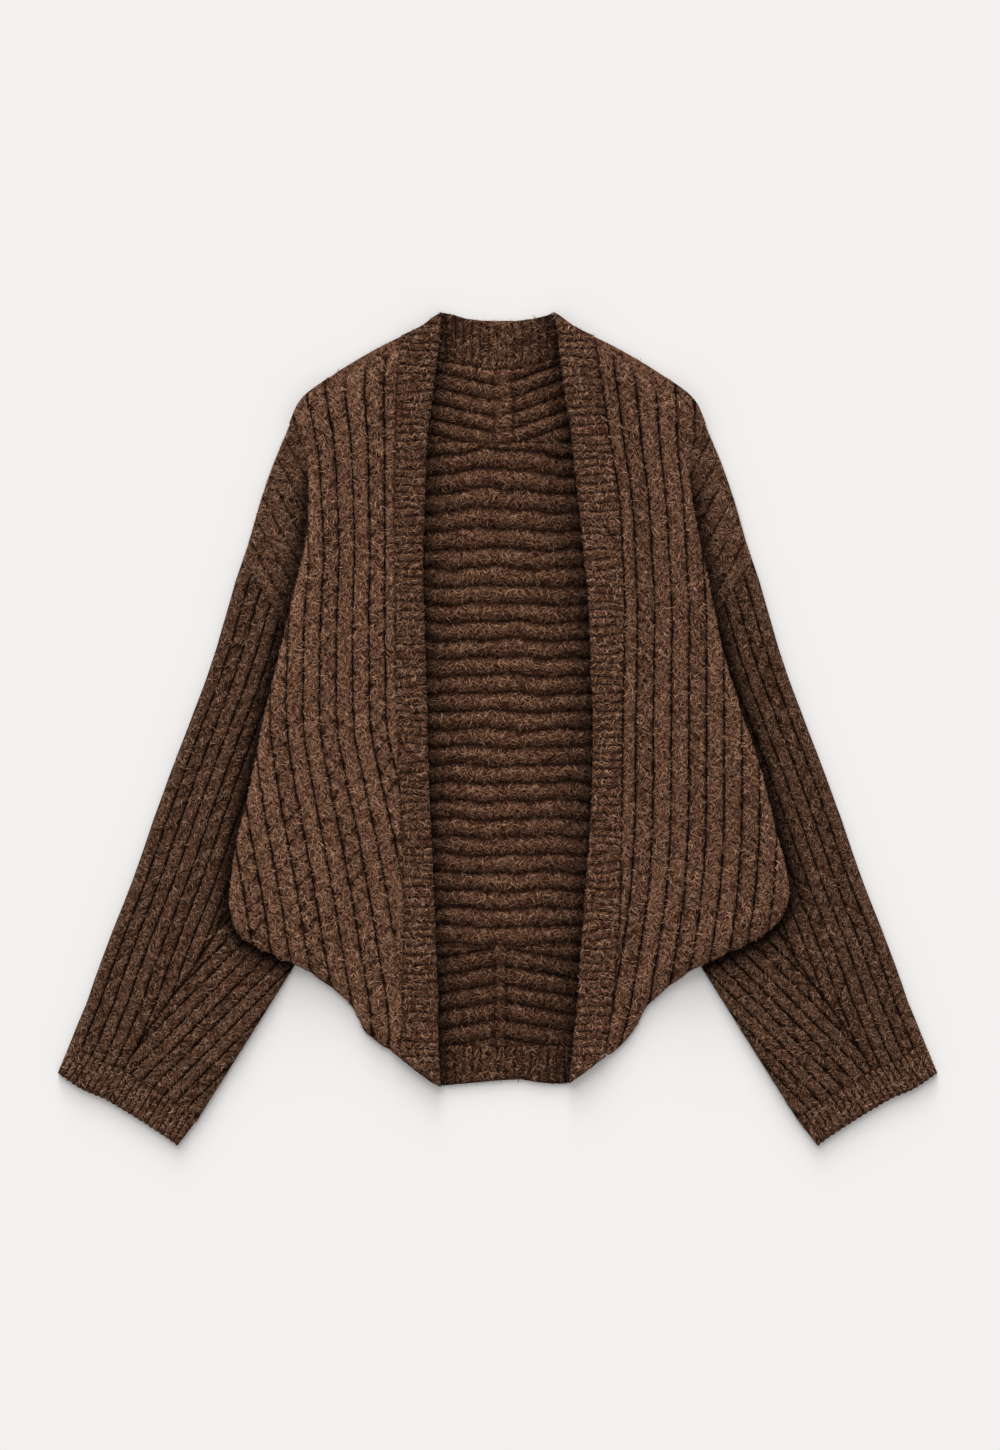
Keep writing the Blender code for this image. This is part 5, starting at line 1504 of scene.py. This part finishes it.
for side, end in SIDE_NAME.items():
    body, sleeve = "back_cloth", "sleeve_cloth_" + end
    strip, band = {-1: (0.061, 0.0183), 1: (0.055, 0.0199)}[side]
    made += [
        (make_front(side), "front_" + end, front_knit, "knit_front", [body, sleeve], (0.17, 0.64), strip),
        (make_front_band(side), "front_band_" + end, band_knit, "knit_band", [body], (0.037, 0.69), band),
    ]

for seed, (piece, node, material, slot_name, rests_on, flat, area) in enumerate(made):
    piece.data.materials.clear()
    piece.data.materials.append(material)
    fibres = add_nap(piece, NAP_OF[material.name], NAP_DENSITY, seed)
    for part in (piece, fibres):
        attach(part, "root")
    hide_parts(node)
    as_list(rests_on)

# Floor, light and camera --------------------------------------------------------------------------

FLOOR_REACH, FLOOR_DROP = 4.0, 0.0002       # in metres; the floor lies just under the garment
corners = [(x * FLOOR_REACH, y * FLOOR_REACH, -FLOOR_DROP) for x, y in ((-1, -1), (1, -1), (1, 1), (-1, 1))]
floor_mesh = bpy.data.meshes.new("floor")
floor_mesh.from_pydata(corners, [], [(0, 1, 2, 3)])
floor = bpy.data.objects.new("floor", floor_mesh)
bpy.context.scene.collection.objects.link(floor)
# Uncoated paper is matt, so the floor is an even pale field with no gloss
paper = new_material("matt_paper", Base_Color=linear("#EEECEA"), Roughness=1.0, Specular_IOR_Level=0.0)[0]
floor.data.materials.append(paper)

WORLD_STRENGTH = 0.565
world = bpy.data.worlds.new("studio")
bpy.context.scene.world = world
world.use_nodes = True
background = world.node_tree.nodes["Background"]
background.inputs["Color"].default_value = (1.0, 1.0, 1.0, 1)
background.inputs["Strength"].default_value = WORLD_STRENGTH

for name, energy, angle, heading in (
    ("window_light", 2.35, 0.9, (0.15, -1.0, -0.6)), ("low_light", 1.2, 0.35, (0.05, -1.0, -0.3)),
):
    lamp = bpy.data.lights.new(name, "SUN")
    lamp.energy = energy
    lamp.angle = angle
    light = bpy.data.objects.new(name, lamp)
    light.rotation_mode = "QUATERNION"
    light.rotation_quaternion = Vector(heading).to_track_quat("-Z", "Y")
    bpy.context.scene.collection.objects.link(light)

# The camera looks straight down; 0.88 mm of the garment's plane shows in each of the frame's 1450 rows
FRAME_HEIGHT = 1450 * 0.88 * MM
LENS, SENSOR = 85.0, 36.0
CENTRE_X, CENTRE_Y, GARMENT_PLANE = 2.2, 3.1, 8.0
camera_data = bpy.data.cameras.new("camera")
camera_data.lens = LENS
camera_data.sensor_width = SENSOR
camera = bpy.data.objects.new("camera", camera_data)
camera.location = (CENTRE_X * MM, CENTRE_Y * MM, GARMENT_PLANE * MM + FRAME_HEIGHT * LENS / SENSOR)
bpy.context.scene.collection.objects.link(camera)
bpy.context.scene.camera = camera
bpy.context.scene.view_settings.view_transform = "Standard"
